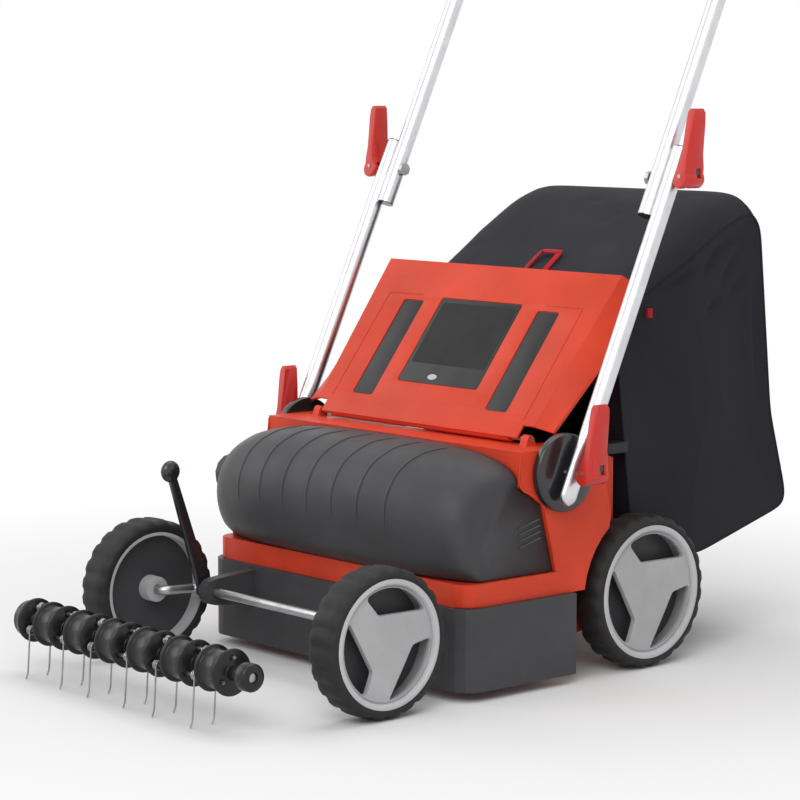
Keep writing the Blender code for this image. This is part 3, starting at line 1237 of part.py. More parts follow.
def make_reel():
    """Make the spare reel: bearing block, shaft, spools and sprung rods."""
    axis = (REEL_Y, REEL_Z)
    body("reel_block", (0, *axis), "machine")
    body("tine_reel", (0, *axis), "reel_block")
    length = REEL_PITCH * (2 * REEL_SPOOLS + 0.5)
    start = REEL_X - (length + REEL_END) / 2
    centres = [start + REEL_PITCH * (2 * k + 1.5) for k in range(REEL_SPOOLS)]
    first = start - REEL_PITCH / 2
    spools = [("reel_spool_0", first, False)]
    spools += [("reel_spool_%d" % (k + 1), x, True) for k, x in enumerate(centres)]
    rods = [(Vector((REEL_Y + REEL_ROD_RING * math.cos(angle),
                     REEL_Z + REEL_ROD_RING * math.sin(angle))), heading)
            for angle, heading in ((LOW_ROD_ANGLES[0], TINE_DOWN),
                                   (LOW_ROD_ANGLES[1], TINE_DOWN),
                                   (TOP_ROD_ANGLE, TINE_BACK))]
    end = centres[-1] + REEL_PITCH / 2 + REEL_DISC / 2 + REEL_ROD_SPARE
    begin = first + REEL_PITCH / 2 - REEL_DISC / 2 - REEL_ROD_SPARE
    for name, x, double in spools:
        spool = add(name, turned(spool_profile(double), (x, *axis), REEL_SEGMENTS),
                    "reel_plastic", "tine_reel")
        holes = [peg(rod, REEL_ROD_RADIUS + GAP, x - REEL_PITCH * 0.8,
                     x + REEL_PITCH * 0.8, 6) for rod, _ in rods]
        cut(spool, "holes_" + name, merged(*holes), "tine_reel")
    for number, (rod, heading) in enumerate(rods, 1):
        bar = add("tine_rod_%d" % number, peg(rod, REEL_ROD_RADIUS, begin, end, 6),
                  "steel", "tine_reel", 60)
        for k, x in enumerate(centres):
            middle = x - REEL_PITCH
            shift = 0.004 * (1 if k % 2 else -1)
            foot = middle + shift - SPRING_PITCH * SPRING_CURLS / 2
            wire = sweep(spring_path(foot, rod, heading), SPRING_WIRE, 6)
            weld(bar, "spring_%d_%d" % (number, k), wire, "tine_reel")
    last = centres[-1] + REEL_PITCH
    block_x = last + 0.003
    add("reel_shaft", peg(axis, REEL_SHAFT_RADIUS, first - 0.001,
                          block_x + BLOCK_LENGTH - 0.003, 12), "steel", "tine_reel")
    bore = REEL_SHAFT_RADIUS + GAP
    rim = BLOCK_RADIUS - 0.002
    finish_x = block_x + BLOCK_LENGTH
    add("reel_bearing_block", turned((
        (bore, block_x), (rim - 0.004, block_x), (rim - 0.004, block_x + 0.004),
        (rim, block_x + 0.004), (BLOCK_RADIUS, block_x + 0.006),
        (BLOCK_RADIUS, finish_x - 0.002), (rim, finish_x), (bore, finish_x)),
        (0, *axis), 14), "dark_plastic", "reel_block")


def main():
    """Build the whole machine and its spare reel."""
    make_finishes()
    body("machine")
    make_housing()
    make_chassis()
    make_front_axle()
    make_rear_axle()
    for side in (-1, 1):
        make_wheel("rear", side, REAR_Y, REAR_RADIUS)
        make_wheel("front", side, FRONT_AXLE_Y, FRONT_RADIUS)
    make_blade_roller()
    make_motor()
    make_motor_cover()
    make_flap()
    make_handle()
    make_bag()
    make_reel()
    print("least gap in a spring: %.2f mm" % (1000 * least_spring_gap()))


main()
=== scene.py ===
import logging
import math
import random
from dataclasses import dataclass
from enum import Enum
from typing import Callable, Sequence

import bmesh
import bpy
from mathutils import Matrix, Vector


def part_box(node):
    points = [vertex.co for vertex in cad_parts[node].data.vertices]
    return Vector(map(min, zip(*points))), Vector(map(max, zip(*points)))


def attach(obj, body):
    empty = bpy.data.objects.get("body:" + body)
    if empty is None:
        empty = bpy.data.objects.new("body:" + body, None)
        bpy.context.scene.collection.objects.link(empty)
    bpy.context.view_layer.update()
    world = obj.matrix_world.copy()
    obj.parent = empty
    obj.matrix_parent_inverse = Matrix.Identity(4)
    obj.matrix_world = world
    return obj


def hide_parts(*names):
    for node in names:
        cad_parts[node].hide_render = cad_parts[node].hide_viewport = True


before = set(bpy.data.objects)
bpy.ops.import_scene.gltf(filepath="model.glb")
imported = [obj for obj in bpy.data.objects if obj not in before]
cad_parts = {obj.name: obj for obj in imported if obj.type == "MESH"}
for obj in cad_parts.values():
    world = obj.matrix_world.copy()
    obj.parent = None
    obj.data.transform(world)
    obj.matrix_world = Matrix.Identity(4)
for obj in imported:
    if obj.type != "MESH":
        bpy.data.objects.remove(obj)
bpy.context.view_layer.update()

LOG = logging.getLogger("scarifier")
TAU = 2 * math.pi
Point = tuple[float, float, float]
Flat = tuple[float, float]
Mesh = bmesh.types.BMesh
UNIT: Point = (1.0, 1.0, 1.0)
ZERO: Point = (0.0, 0.0, 0.0)
RIGHTWARD = Vector((1, 0, 0))

REAR_Y = 0.2155
FRONT_AXLE_Y = -0.2155
SHARP_MARGIN = 6


def row_shift() -> float:
    """Return how far the row frame lies behind the middle of the wheelbase."""
    low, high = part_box("rear_axle")
    return REAR_Y - (low[1] + high[1]) / 2


SHIFT = row_shift()


def at(x: float, y: float, z: float) -> Vector:
    """Turn a point measured from the middle of the wheelbase into the row frame."""
    return Vector((x, y - SHIFT, z))


# Node graphs ---------------------------------------------------------------


class Graph:
    """A small builder for one material's node graph."""

    def __init__(self, name: str) -> None:
        """Make an empty material with a Principled shader in it.

        Args:
            name: The material's name.
        """
        self.material = bpy.data.materials.new(name)
        self.material.use_nodes = True
        self.nodes = self.material.node_tree.nodes
        self.links = self.material.node_tree.links
        self.shader = self.nodes["Principled BSDF"]
        self.place = self.nodes.new("ShaderNodeTexCoord").outputs["Object"]

    def set(self, **values: float | tuple) -> None:
        """Set the shader's own sockets, with spaces written as underscores."""
        for key, value in values.items():
            self.shader.inputs[key.replace("_", " ")].default_value = value

    def feed(self, socket: object, value: object) -> None:
        """Link a socket to another, or write a plain value on it.

        Args:
            socket: The socket that is fed.
            value: Another socket, a number, a colour or a vector.
        """
        if isinstance(value, bpy.types.NodeSocket):
            self.links.new(value, socket)
        elif socket.type == "RGBA":
            socket.default_value = (*value, 1.0)
        else:
            socket.default_value = value

    def add(self, kind: str, **inputs: object) -> bpy.types.Node:
        """Add a node and feed its inputs.

        Args:
            kind: The node's type, without its first word.
            inputs: Its inputs, with spaces written as underscores.

        Returns:
            The node.
        """
        node = self.nodes.new(f"ShaderNode{kind}")
        for name, value in inputs.items():
            self.feed(node.inputs[name.replace("_", " ")], value)
        return node

    def noise(self, scale: float, detail: float = 3.0, rough: float = 0.55,
              stretch: Point = UNIT) -> object:
        """Return a noise factor, in cells per metre of the object's coordinates."""
        return self.add("TexNoise", Scale=scale, Detail=detail, Roughness=rough,
                        Vector=self.stretched(stretch)).outputs["Fac"]

    def stretched(self, stretch: Point, turn: Point = ZERO) -> object:
        """Return the object's coordinates, scaled and turned.

        Args:
            stretch: Scale of each axis.
            turn: Turn about each axis, in radians.

        Returns:
            The coordinates' socket.
        """
        if stretch == UNIT and turn == ZERO:
            return self.place
        return self.add("Mapping", Scale=stretch, Rotation=turn,
                        Vector=self.place).outputs["Vector"]

    def wave(self, scale: float, axis: str, turn: Point = ZERO) -> object:
        """Return a sine band pattern along one axis.

        Args:
            scale: Scale of the bands.
            axis: "X", "Y" or "Z".
            turn: Turn of the coordinates about each axis, in radians.

        Returns:
            The factor's socket.
        """
        node = self.add("TexWave", Scale=scale, Vector=self.stretched(UNIT, turn))
        node.bands_direction = axis
        return node.outputs["Fac"]

    def cells(self, scale: float) -> object:
        """Return the distance to the nearest of many scattered points."""
        node = self.add("TexVoronoi", Scale=scale, Vector=self.place)
        return node.outputs["Distance"]

    def sideways(self) -> object:
        """Return how far a surface faces the object's own X axis.

        Returns:
            A socket that runs from 0 to 1.
        """
        normal = self.add("TexCoord").outputs["Normal"]
        apart = self.add("SeparateXYZ", Vector=normal)
        return self.maths("ABSOLUTE", apart.outputs["X"])

    def maths(self, kind: str, first: object, second: object = 0.0) -> object:
        """Return the result of one Math node.

        Args:
            kind: The node's operation.
            first: Its first value or socket.
            second: Its second one.

        Returns:
            The result's socket.
        """
        node = self.add("Math")
        node.operation = kind
        self.feed(node.inputs[0], first)
        self.feed(node.inputs[1], second)
        return node.outputs[0]

    def ranged(self, value: object, low: float, high: float,
               start: float = 0.0, stop: float = 1.0) -> object:
        """Map a factor from start to stop onto low to high, clamped."""
        return self.add("MapRange", Value=value, From_Min=start, From_Max=stop,
                        To_Min=low, To_Max=high).outputs["Result"]

    def mix(self, factor: object, first: object, second: object) -> object:
        """Return a colour mixed from two colours.

        Args:
            factor: How much of the second one shows.
            first: The first colour or its socket.
            second: The second one.

        Returns:
            The mixed colour's socket.
        """
        node = self.add("Mix")
        node.data_type = "RGBA"
        for socket, value in ((0, factor), (6, first), (7, second)):
            self.feed(node.inputs[socket], value)
        return node.outputs[2]

    def edges(self, sharp: float = 0.53, soft: float = 0.50) -> object:
        """Return a factor that is high along raised, worn edges."""
        pointed = self.add("NewGeometry").outputs["Pointiness"]
        return self.ranged(pointed, 0.0, 1.0, soft, sharp)

    def colour(self, value: object) -> None:
        """Feed the base colour."""
        self.feed(self.shader.inputs["Base Color"], value)

    def rough(self, value: object, low: float, high: float) -> None:
        """Feed the roughness from the middle of a factor's range."""
        self.feed(self.shader.inputs["Roughness"],
                  self.ranged(value, low, high, 0.3, 0.7))

    def bump(self, height: object, depth: float, strength: float = 1.0) -> None:
        """Feed the normal from a height, on top of any bump that is there.

        Args:
            height: The height's socket.
            depth: What a height of 1 stands for, in metres.
            strength: How strongly it shows.
        """
        node = self.add("Bump", Strength=strength, Distance=depth, Height=height)
        before = self.shader.inputs["Normal"].links
        if before:
            self.links.new(before[0].from_socket, node.inputs["Normal"])
        self.links.new(node.outputs["Normal"], self.shader.inputs["Normal"])


def shade(tint: Point, factor: float, lift: float = 0.0) -> Point:
    """Return a darker or lighter colour."""
    return tuple(min(1.0, c * factor + lift) for c in tint)


@dataclass(frozen=True)
class MouldedPlastic:
    """Injection-moulded plastic with a fine eroded grain."""

    name: str
    slot: str
    tint: Point
    roughness: float
    grain_depth: float = 0.00005
    grain_scale: float = 2600.0
    coat: float = 0.0
    wear: float = 0.12
    specular: float = 0.30

    def build(self) -> bpy.types.Material:
        """Make the material.

        Returns:
            A material whose grain, tone and edge wear come from nodes.
        """
        graph = Graph(self.name)
        cloud = graph.noise(9.0, 4.0)
        base = graph.mix(graph.ranged(cloud, 0.0, 1.0, 0.3, 0.7),
                         shade(self.tint, 0.86), shade(self.tint, 1.10, 0.004))
        rub = graph.maths("MULTIPLY", graph.edges(), graph.noise(60.0, 2.0))
        graph.colour(graph.mix(graph.maths("MULTIPLY", rub, self.wear), base,
                               shade(self.tint, 1.2, 0.06)))
        smear = graph.noise(26.0, 3.0, 0.6, (1.0, 1.0, 0.35))
        graph.rough(smear, self.roughness - 0.05, self.roughness + 0.09)
        graph.set(Coat_Weight=self.coat, Coat_Roughness=0.12,
                  Specular_IOR_Level=self.specular)
        graph.bump(graph.noise(self.grain_scale, 2.0, 0.5), self.grain_depth)
        return graph.material


@dataclass(frozen=True)
class DrawnMetal:
    """Rolled or drawn metal with fine lines along one axis."""

    name: str
    slot: str
    tint: Point
    roughness: float
    stretch: Point = (0.02, 1.0, 1.0)
    stain: float = 0.25

    def build(self) -> bpy.types.Material:
        """Make the material.

        Returns:
            A metal whose lines and stains come from nodes.
        """
        graph = Graph(self.name)
        lines = graph.noise(1400.0, 2.0, 0.6, self.stretch)
        cloud = graph.noise(34.0, 5.0, 0.65)
        graph.colour(graph.mix(graph.ranged(cloud, 0.0, 1.0, 0.38, 0.68),
                               self.tint, shade(self.tint, 1 - self.stain)))
        rough = graph.maths("ADD", graph.ranged(lines, -0.05, 0.07, 0.3, 0.7),
                            graph.ranged(cloud, self.roughness, self.roughness + 0.12))
        graph.feed(graph.shader.inputs["Roughness"], rough)
        graph.set(Metallic=1.0, Anisotropic=0.25)
        graph.bump(lines, 0.00002)
        return graph.material


@dataclass(frozen=True)
class TyreRubber:
    """Dull hard rubber with dust in patches."""

    name: str
    slot: str
    tint: Point
    dust: Point

    def build(self) -> bpy.types.Material:
        """Make the material.

        Returns:
            A rubber that is dustier in patches.
        """
        graph = Graph(self.name)
        patches = graph.noise(22.0, 5.0, 0.6)
        graph.colour(graph.mix(graph.ranged(patches, 0.0, 0.30, 0.45, 0.75),
                               self.tint, self.dust))
        graph.rough(patches, 0.58, 0.80)
        graph.set(Specular_IOR_Level=0.4)
        graph.bump(graph.noise(1500.0, 3.0), 0.00006)
        return graph.material


@dataclass(frozen=True)
class WovenCloth:
    """Coated woven cloth: two crossed thread systems and soft creases."""

    name: str
    slot: str
    tint: Point
    thread: float
    sheen: float
    crease: float = 0.0008

    def build(self) -> bpy.types.Material:
        """Make the material.

        Returns:
            A cloth with warp, weft, creases and a little lint, and painted shade in the
            gaps between the threads.
        """
        graph = Graph(self.name)
        weave = self.threads(graph)
        cloud = graph.noise(14.0, 5.0, 0.6)
        dark = shade(self.tint, 0.66)
        tone = graph.mix(graph.ranged(cloud, 0.0, 1.0, 0.3, 0.7), dark,
                         shade(self.tint, 1.30, 0.002))
        # Painted shade: the colour darkens where the thread height is low, in the gaps
        # between the threads.
        graph.colour(graph.mix(graph.ranged(weave, 0.38, 0.0), tone, dark))
        graph.rough(cloud, 0.70, 0.92)
        graph.set(Sheen_Weight=self.sheen, Sheen_Roughness=0.45,
                  Specular_IOR_Level=0.24)
        graph.bump(graph.noise(24.0, 3.0, 0.5, (1.0, 1.0, 0.5)), self.crease, 0.6)
        graph.bump(weave, self.thread * 0.07, 0.5)
        return graph.material

    def threads(self, graph: Graph) -> object:
        """Return the height of the threads, which follow each wall.

        Args:
            graph: The material's node graph.

        Returns:
            The height's socket. Side walls have threads along Y and Z. Every
            other wall has one set along X and one down its slope.
        """
        scale = 1.0 / self.thread / 3.2
        across = graph.wave(scale, "X")
        slope = graph.wave(scale, "Y", (math.radians(-45), 0.0, 0.0))
        walls = graph.maths("MULTIPLY", across, slope)
        sides = graph.maths("MULTIPLY", graph.wave(scale, "Y"), graph.wave(scale, "Z"))
        facing = graph.ranged(graph.sideways(), 0.0, 1.0, 0.6, 0.7)
        rest = graph.maths("SUBTRACT", 1.0, facing)
        return graph.maths("ADD", graph.maths("MULTIPLY", sides, facing),
                           graph.maths("MULTIPLY", walls, rest))


@dataclass(frozen=True)
class RubberSleeve:
    """A soft rubber sleeve with a fine open grain."""

    name: str
    slot: str
    tint: Point

    def build(self) -> bpy.types.Material:
        """Make the material.

        Returns:
            A matt rubber with fine pits, darkened inside with painted shade.
        """
        graph = Graph(self.name)
        pores = graph.cells(900.0)
        # Painted shade: the colour darkens towards the bottom of each pit.
        graph.colour(graph.mix(graph.ranged(pores, 0.6, 0.0, 0.0, 0.5), self.tint,
                               shade(self.tint, 0.45)))
        graph.set(Roughness=0.9, Sheen_Weight=0.1, Specular_IOR_Level=0.3)
        graph.bump(pores, 0.0003, 0.8)
        return graph.material


class Finish(Enum):
    """The finishes of the machine and of its loose reel."""

    RED = MouldedPlastic("orange_red_housing", "red_plastic", (0.68, 0.053, 0.018),
                         0.38, specular=0.22)
    RED_LEVER = MouldedPlastic("red_lever", "red_plastic", (0.60, 0.022, 0.014), 0.30,
                               coat=0.2)
    ANTHRACITE = MouldedPlastic("anthracite_grained", "dark_plastic",
                                (0.049, 0.049, 0.053), 0.47, 0.00009, 1500.0)
    BLACK_GLOSS = MouldedPlastic("black_gloss", "gloss_dark", (0.014, 0.014, 0.016),
                                 0.20, 0.00001, coat=0.3, wear=0.05,
                                 specular=0.5)
    PANEL = MouldedPlastic("flap_inlay_black", "gloss_dark", (0.016, 0.016, 0.017),
                           0.34, 0.00003, wear=0.05)
    RIM = MouldedPlastic("rim_grey_satin", "rim_grey", (0.44, 0.44, 0.45), 0.42,
                         0.00002)
    RIM_LIP = MouldedPlastic("rim_lip_light", "rim_grey", (0.54, 0.54, 0.555), 0.34,
                             0.00002)
    PANEL_FIELD = MouldedPlastic("flap_field_black", "gloss_dark",
                                 (0.010, 0.010, 0.011), 0.44, 0.00002, wear=0.03,
                                 specular=0.18)
    REEL = MouldedPlastic("reel_black", "reel_plastic", (0.007, 0.007, 0.008), 0.27,
                          0.00003, wear=0.06, specular=0.38)
    BAG_EDGE = MouldedPlastic("bag_frame_black", "dark_plastic",
                              (0.016, 0.016, 0.018), 0.50)
    TUBE = DrawnMetal("tube_silver_grey", "tube_silver", (0.70, 0.70, 0.73), 0.27,
                      (1.0, 1.0, 0.02), 0.12)
    STEEL = DrawnMetal("zinc_plated_steel", "steel", (0.50, 0.50, 0.51), 0.27)
    WIRE = DrawnMetal("spring_wire", "steel", (0.36, 0.36, 0.37), 0.25,
                      (1.0, 1.0, 0.05), 0.35)
    TYRE = TyreRubber("tyre_rubber", "tyre_black", (0.012, 0.012, 0.012),
                      (0.055, 0.050, 0.046))
    BELT = TyreRubber("belt_rubber", "belt_rubber", (0.016, 0.016, 0.016),
                      (0.06, 0.055, 0.05))
    CLOTH = WovenCloth("bag_cloth", "bag_fabric", (0.018, 0.017, 0.024), 0.0016, 0.03)
    WEBBING = WovenCloth("webbing_crimson", "webbing_red", (0.46, 0.012, 0.022),
                         0.0009, 0.10, 0.0002)
    PIPING = WovenCloth("bag_piping", "bag_fabric", (0.010, 0.010, 0.012), 0.0008,
                        0.05, 0.0001)
    SLEEVE = RubberSleeve("grip_rubber_sleeve", "grip_rubber", (0.022, 0.022, 0.023))


class Palette:
    """Builds each finish once."""

    made: dict[Finish, bpy.types.Material] = {}

    @classmethod
    def get(cls, finish: Finish) -> bpy.types.Material:
        """Return the finish's material, made on first use.

        Args:
            finish: The finish.

        Returns:
            Its only material.
        """
        if finish not in cls.made:
            cls.made[finish] = finish.value.build()
        return cls.made[finish]


# Shapes --------------------------------------------------------------------


def bridge(bm: Mesh, first: Sequence, second: Sequence) -> None:
    """Skin the gap between two closed rings, or between a ring and a point.

    Args:
        bm: The mesh that holds both.
        first: The first ring's vertices, or a single one.
        second: The second ring's.
    """
    count = max(len(first), len(second))
    for i in range(count):
        j = (i + 1) % count
        corners = (first[i % len(first)], first[j % len(first)],
                   second[j % len(second)], second[i % len(second)])
        bm.faces.new(tuple(dict.fromkeys(corners)))


def loft(rings: Sequence[Sequence[Vector]], caps: bool = True) -> Mesh:
    """Skin closed rings of equal length.

    Args:
        rings: The rings, in order.
        caps: Whether the first and last ring are filled.

    Returns:
        The new mesh.
    """
    bm = bmesh.new()
    rows = [[bm.verts.new(p) for p in ring] for ring in rings]
    for first, second in zip(rows, rows[1:]):
        bridge(bm, first, second)
    if caps:
        bm.faces.new(rows[0])
        bm.faces.new(reversed(rows[-1]))
    return bm


def prism(outline: Sequence[Flat], low: float, high: float,
          axis: int = 0) -> Mesh:
    """Extrude an outline along axis 0, 1 or 2, with the other two in their order."""
    return loft([[at(*flat[:axis], end, *flat[axis:]) for flat in outline]
                 for end in (low, high)])


def rectangle(left: float, right: float, low: float, high: float) -> list[Flat]:
    """Return a rectangle's corners, from the lower left one round."""
    return [(left, low), (right, low), (right, high), (left, high)]


def arc(centre: Flat, radius: float, start: float, end: float,
        steps: int) -> list[Flat]:
    """Return points on an arc, both ends included.

    Args:
        centre: The arc's centre.
        radius: Its radius.
        start: Its first angle.
        end: Its last angle.
        steps: Number of segments.

    Returns:
        The points, in order.
    """
    span = end - start
    return [(centre[0] + radius * math.cos(start + span * i / steps),
             centre[1] + radius * math.sin(start + span * i / steps))
            for i in range(steps + 1)]


def oval(wide: float, high: float, sides: int, centre: Flat = (0.0, 0.0),
         power: float = 1.0) -> list[Flat]:
    """Return the points of an ellipse.

    Args:
        wide: Half its width.
        high: Half its height.
        sides: Number of points.
        centre: Its middle.
        power: 1 for an ellipse, less for squarer shoulders.

    Returns:
        The points, from the right one round.
    """
    def eased(value: float) -> float:
        """Raise a value to the power and keep its sign."""
        return math.copysign(abs(value) ** power, value)

    return [(centre[0] + wide * eased(math.cos(TAU * k / sides)),
             centre[1] + high * eased(math.sin(TAU * k / sides)))
            for k in range(sides)]


def fillet(before: Vector, here: Vector, after: Vector, radius: float,
           steps: int) -> list[Vector]:
    """Return the arc that rounds one corner of a path.

    Args:
        before: The point before the corner.
        here: The corner.
        after: The point after it.
        radius: The arc's radius.
        steps: Number of segments.

    Returns:
        The arc's points.
    """
    back = (before - here).normalized()
    ahead = (after - here).normalized()
    half = back.angle(ahead) / 2
    reach = radius / math.tan(half)
    centre = here + (back + ahead).normalized() * radius / math.sin(half)
    start, stop = here + back * reach, here + ahead * reach
    return [centre + (start.lerp(stop, k / steps) - centre).normalized() * radius
            for k in range(steps + 1)]


def rounded(corners: Sequence[Point], steps: int = 6) -> list[Flat]:
    """Round the corners of a closed outline.

    Args:
        corners: The corners as (y, z, radius); a radius of 0 keeps one as it is.
        steps: Number of segments in each rounding.

    Returns:
        The outline's points as (y, z).
    """
    points: list[Flat] = []
    spots = [Vector(corner[:2]) for corner in corners]
    for i, (y, z, radius) in enumerate(corners):
        if radius:
            after = spots[(i + 1) % len(spots)]
            points += map(tuple, fillet(spots[i - 1], spots[i], after, radius, steps))
        else:
            points.append((y, z))
    return points


def turned(profile: Sequence[Flat], y: float, z: float, side: int = 1,
           segments: int = 72) -> Mesh:
    """Turn (radius, x) points about an X axis.

    Args:
        profile: The outline; a radius of 0 closes an end, or else it is a loop.
        y: The axis's distance behind the middle of the wheelbase.
        z: The axis's height.
        side: 1 or -1, which mirrors the profile in X.
        segments: Number of sides.

    Returns:
        The new mesh.
    """
    bm = bmesh.new()
    rows = []
    for radius, x in profile:
        ring = oval(radius, radius, segments, (y, z)) if radius > 0 else [(y, z)]
        rows.append([bm.verts.new(at(side * x, *flat)) for flat in ring])
    pairs = list(zip(rows, rows[1:]))
    if profile[0][0] > 0:
        pairs.append((rows[-1], rows[0]))
    for first, second in pairs:
        bridge(bm, first, second)
    return bm


def swept(points: Sequence[Vector], sections: Callable[[float], Sequence[Flat]],
          caps: bool = True, across: Vector | None = None) -> Mesh:
    """Sweep a section along a path with frames that don't twist.

    Args:
        points: The path.
        sections: Gives the section's points at a share of the path's length.
        caps: Whether both ends are filled.
        across: The section's first axis at the start.

    Returns:
        The new mesh.
    """
    heading = (points[1] - points[0]).normalized()
    side = (across or heading.orthogonal()).normalized()
    rings = []
    last = len(points) - 1
    for i, point in enumerate(points):
        turn = (points[min(i + 1, last)] - points[max(i - 1, 0)]).normalized()
        side = (side - turn * side.dot(turn)).normalized()
        other = turn.cross(side)
        rings.append([point + side * a + other * b for a, b in sections(i / last)])
    return loft(rings, caps)


def tube(points: Sequence[Vector], radius: float, sides: int = 20,
         caps: bool = True) -> Mesh:
    """Sweep a round section along a path."""
    ring = oval(radius, radius, sides)
    return swept(points, lambda _: ring, caps)


def smooth_path(points: Sequence[Vector], steps: int = 8) -> list[Vector]:
    """Return a Catmull-Rom curve through the points.

    Args:
        points: The points to pass through.
        steps: Number of segments between two of them.

    Returns:
        The curve's points.
    """
    ends = [points[0] * 2 - points[1], *points, points[-1] * 2 - points[-2]]
    path = []
    for a, b, c, d in zip(ends, ends[1:], ends[2:], ends[3:]):
        for k in range(steps):
            t = k / steps
            path.append(0.5 * (2 * b + (c - a) * t
                               + (2 * a - 5 * b + 4 * c - d) * t ** 2
                               + (3 * b - a - 3 * c + d) * t ** 3))
    path.append(points[-1].copy())
    return path


def bend(corners: Sequence[Vector], radius: float, steps: int = 10) -> list[Vector]:
    """Return a path through corners, with each inner corner rounded.

    Args:
        corners: The path's corners and both of its ends.
        radius: The radius of each rounding.
        steps: Number of segments in each rounding.

    Returns:
        The path's points.
    """
    path = [corners[0].copy()]
    for near in zip(corners, corners[1:], corners[2:]):
        path += fillet(*near, radius, steps)
    path.append(corners[-1].copy())
    return path


def gathered(*shapes: Mesh) -> Mesh:
    """Put several shapes into one mesh.

    Args:
        shapes: The shapes, which are used up.

    Returns:
        The new mesh.
    """
    whole = bmesh.new()
    for shape in shapes:
        mesh = bpy.data.meshes.new("part")
        shape.to_mesh(mesh)
        shape.free()
        whole.from_mesh(mesh)
        bpy.data.meshes.remove(mesh)
    return whole


@dataclass
class Look:
    """How a piece is finished after its mesh is made."""

    finish: Finish
    body: str
    replaces: Sequence[str] = ()
    bevel: float = 0.0
    rounds: int = 3
    angle: float = 32.0
    cutters: Sequence[Mesh] = ()


def linked(name: str, data: bpy.types.ID) -> bpy.types.Object:
    """Make an object and put it into the scene.

    Args:
        name: The object's name.
        data: Its mesh, camera or light.

    Returns:
        The new object.
    """
    obj = bpy.data.objects.new(name, data)
    bpy.context.scene.collection.objects.link(obj)
    return obj


def temp_object(bm: Mesh, name: str) -> bpy.types.Object:
    """Turn a mesh in progress into an object.

    Args:
        bm: The mesh, which is used up.
        name: The object's name.

    Returns:
        The object, in the scene.
    """
    bmesh.ops.remove_doubles(bm, verts=bm.verts, dist=1e-6)
    bmesh.ops.recalc_face_normals(bm, faces=bm.faces)
    mesh = bpy.data.meshes.new(name)
    bm.to_mesh(mesh)
    bm.free()
    return linked(name, mesh)


def apply_all(obj: bpy.types.Object) -> None:
    """Bake an object's modifiers into its mesh.

    Args:
        obj: The object, which gets a new mesh.
    """
    graph = bpy.context.evaluated_depsgraph_get()
    graph.update()
    mesh = bpy.data.meshes.new_from_object(obj.evaluated_get(graph))
    old = obj.data
    obj.modifiers.clear()
    obj.data = mesh
    bpy.data.meshes.remove(old)


def bevel(obj: bpy.types.Object, width: float, rounds: int,
          angle: float) -> bpy.types.Modifier:
    """Add a modifier that rounds an object's sharp edges.

    Args:
        obj: The object.
        width: Width of the rounding.
        rounds: Number of segments in it.
        angle: Least angle of an edge that is rounded, in degrees.

    Returns:
        The modifier.
    """
    edge = obj.modifiers.new("round", "BEVEL")
    edge.width = width
    edge.segments = rounds
    edge.limit_method = "ANGLE"
    edge.angle_limit = math.radians(angle)
    return edge


def thicken(obj: bpy.types.Object, thickness: float) -> None:
    """Add a modifier that gives an open skin a wall on its inner side.

    Args:
        obj: The object.
        thickness: The wall's thickness.
    """
    wall = obj.modifiers.new("wall", "SOLIDIFY")
    wall.thickness = thickness
    wall.offset = -1.0


def piece(name: str, bm: Mesh, look: Look) -> bpy.types.Object:
    """Make one visible piece from a mesh in the row frame.

    Args:
        name: The piece's name.
        bm: Its mesh, which is used up.
        look: Its finish, its body and how its edges are treated.

    Returns:
        The finished object.
    """
    obj = temp_object(bm, name)
    for number, cutter in enumerate(look.cutters):
        tool = temp_object(cutter, f"{name}_cut_{number}")
        cut = obj.modifiers.new("cut", "BOOLEAN")
        cut.operation = "DIFFERENCE"
        cut.solver = "EXACT"
        cut.object = tool
        apply_all(obj)
        bpy.data.objects.remove(tool)
    if look.bevel:
        bevel(obj, look.bevel, look.rounds, look.angle)
        apply_all(obj)
    obj.data.shade_smooth()
    obj.data.set_sharp_from_angle(angle=math.radians(look.angle + SHARP_MARGIN))
    obj.data.materials.clear()
    obj.data.materials.append(Palette.get(look.finish))
    if look.replaces:
        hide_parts(*look.replaces)
    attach(obj, look.body)
    LOG.info("piece %s: %d faces", name, len(obj.data.polygons))
    return obj


def dress(node: str, finish: Finish, width: float = 0.0, rounds: int = 2,
          angle: float = 30.0) -> None:
    """Give a CAD node its finish and, where asked, rounded edges.

    Args:
        node: The node's name.
        finish: Its finish.
        width: Width of the rounding, or 0.
        rounds: Number of segments in the rounding.
        angle: Least angle of an edge that is rounded, in degrees.
    """
    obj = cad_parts[node]
    if not obj.material_slots:
        obj.data.materials.append(None)
    for place in obj.material_slots:
        place.material = Palette.get(finish)
    if width:
        bevel(obj, width, rounds, angle).harden_normals = True
    LOG.info("dressed %s", node)


class Side(Enum):
    """The machine's left and right side."""

    LEFT = -1
    RIGHT = 1

    @property
    def word(self) -> str:
        """Return the side's name in lower case."""
        return self.name.lower()


# Wheels --------------------------------------------------------------------


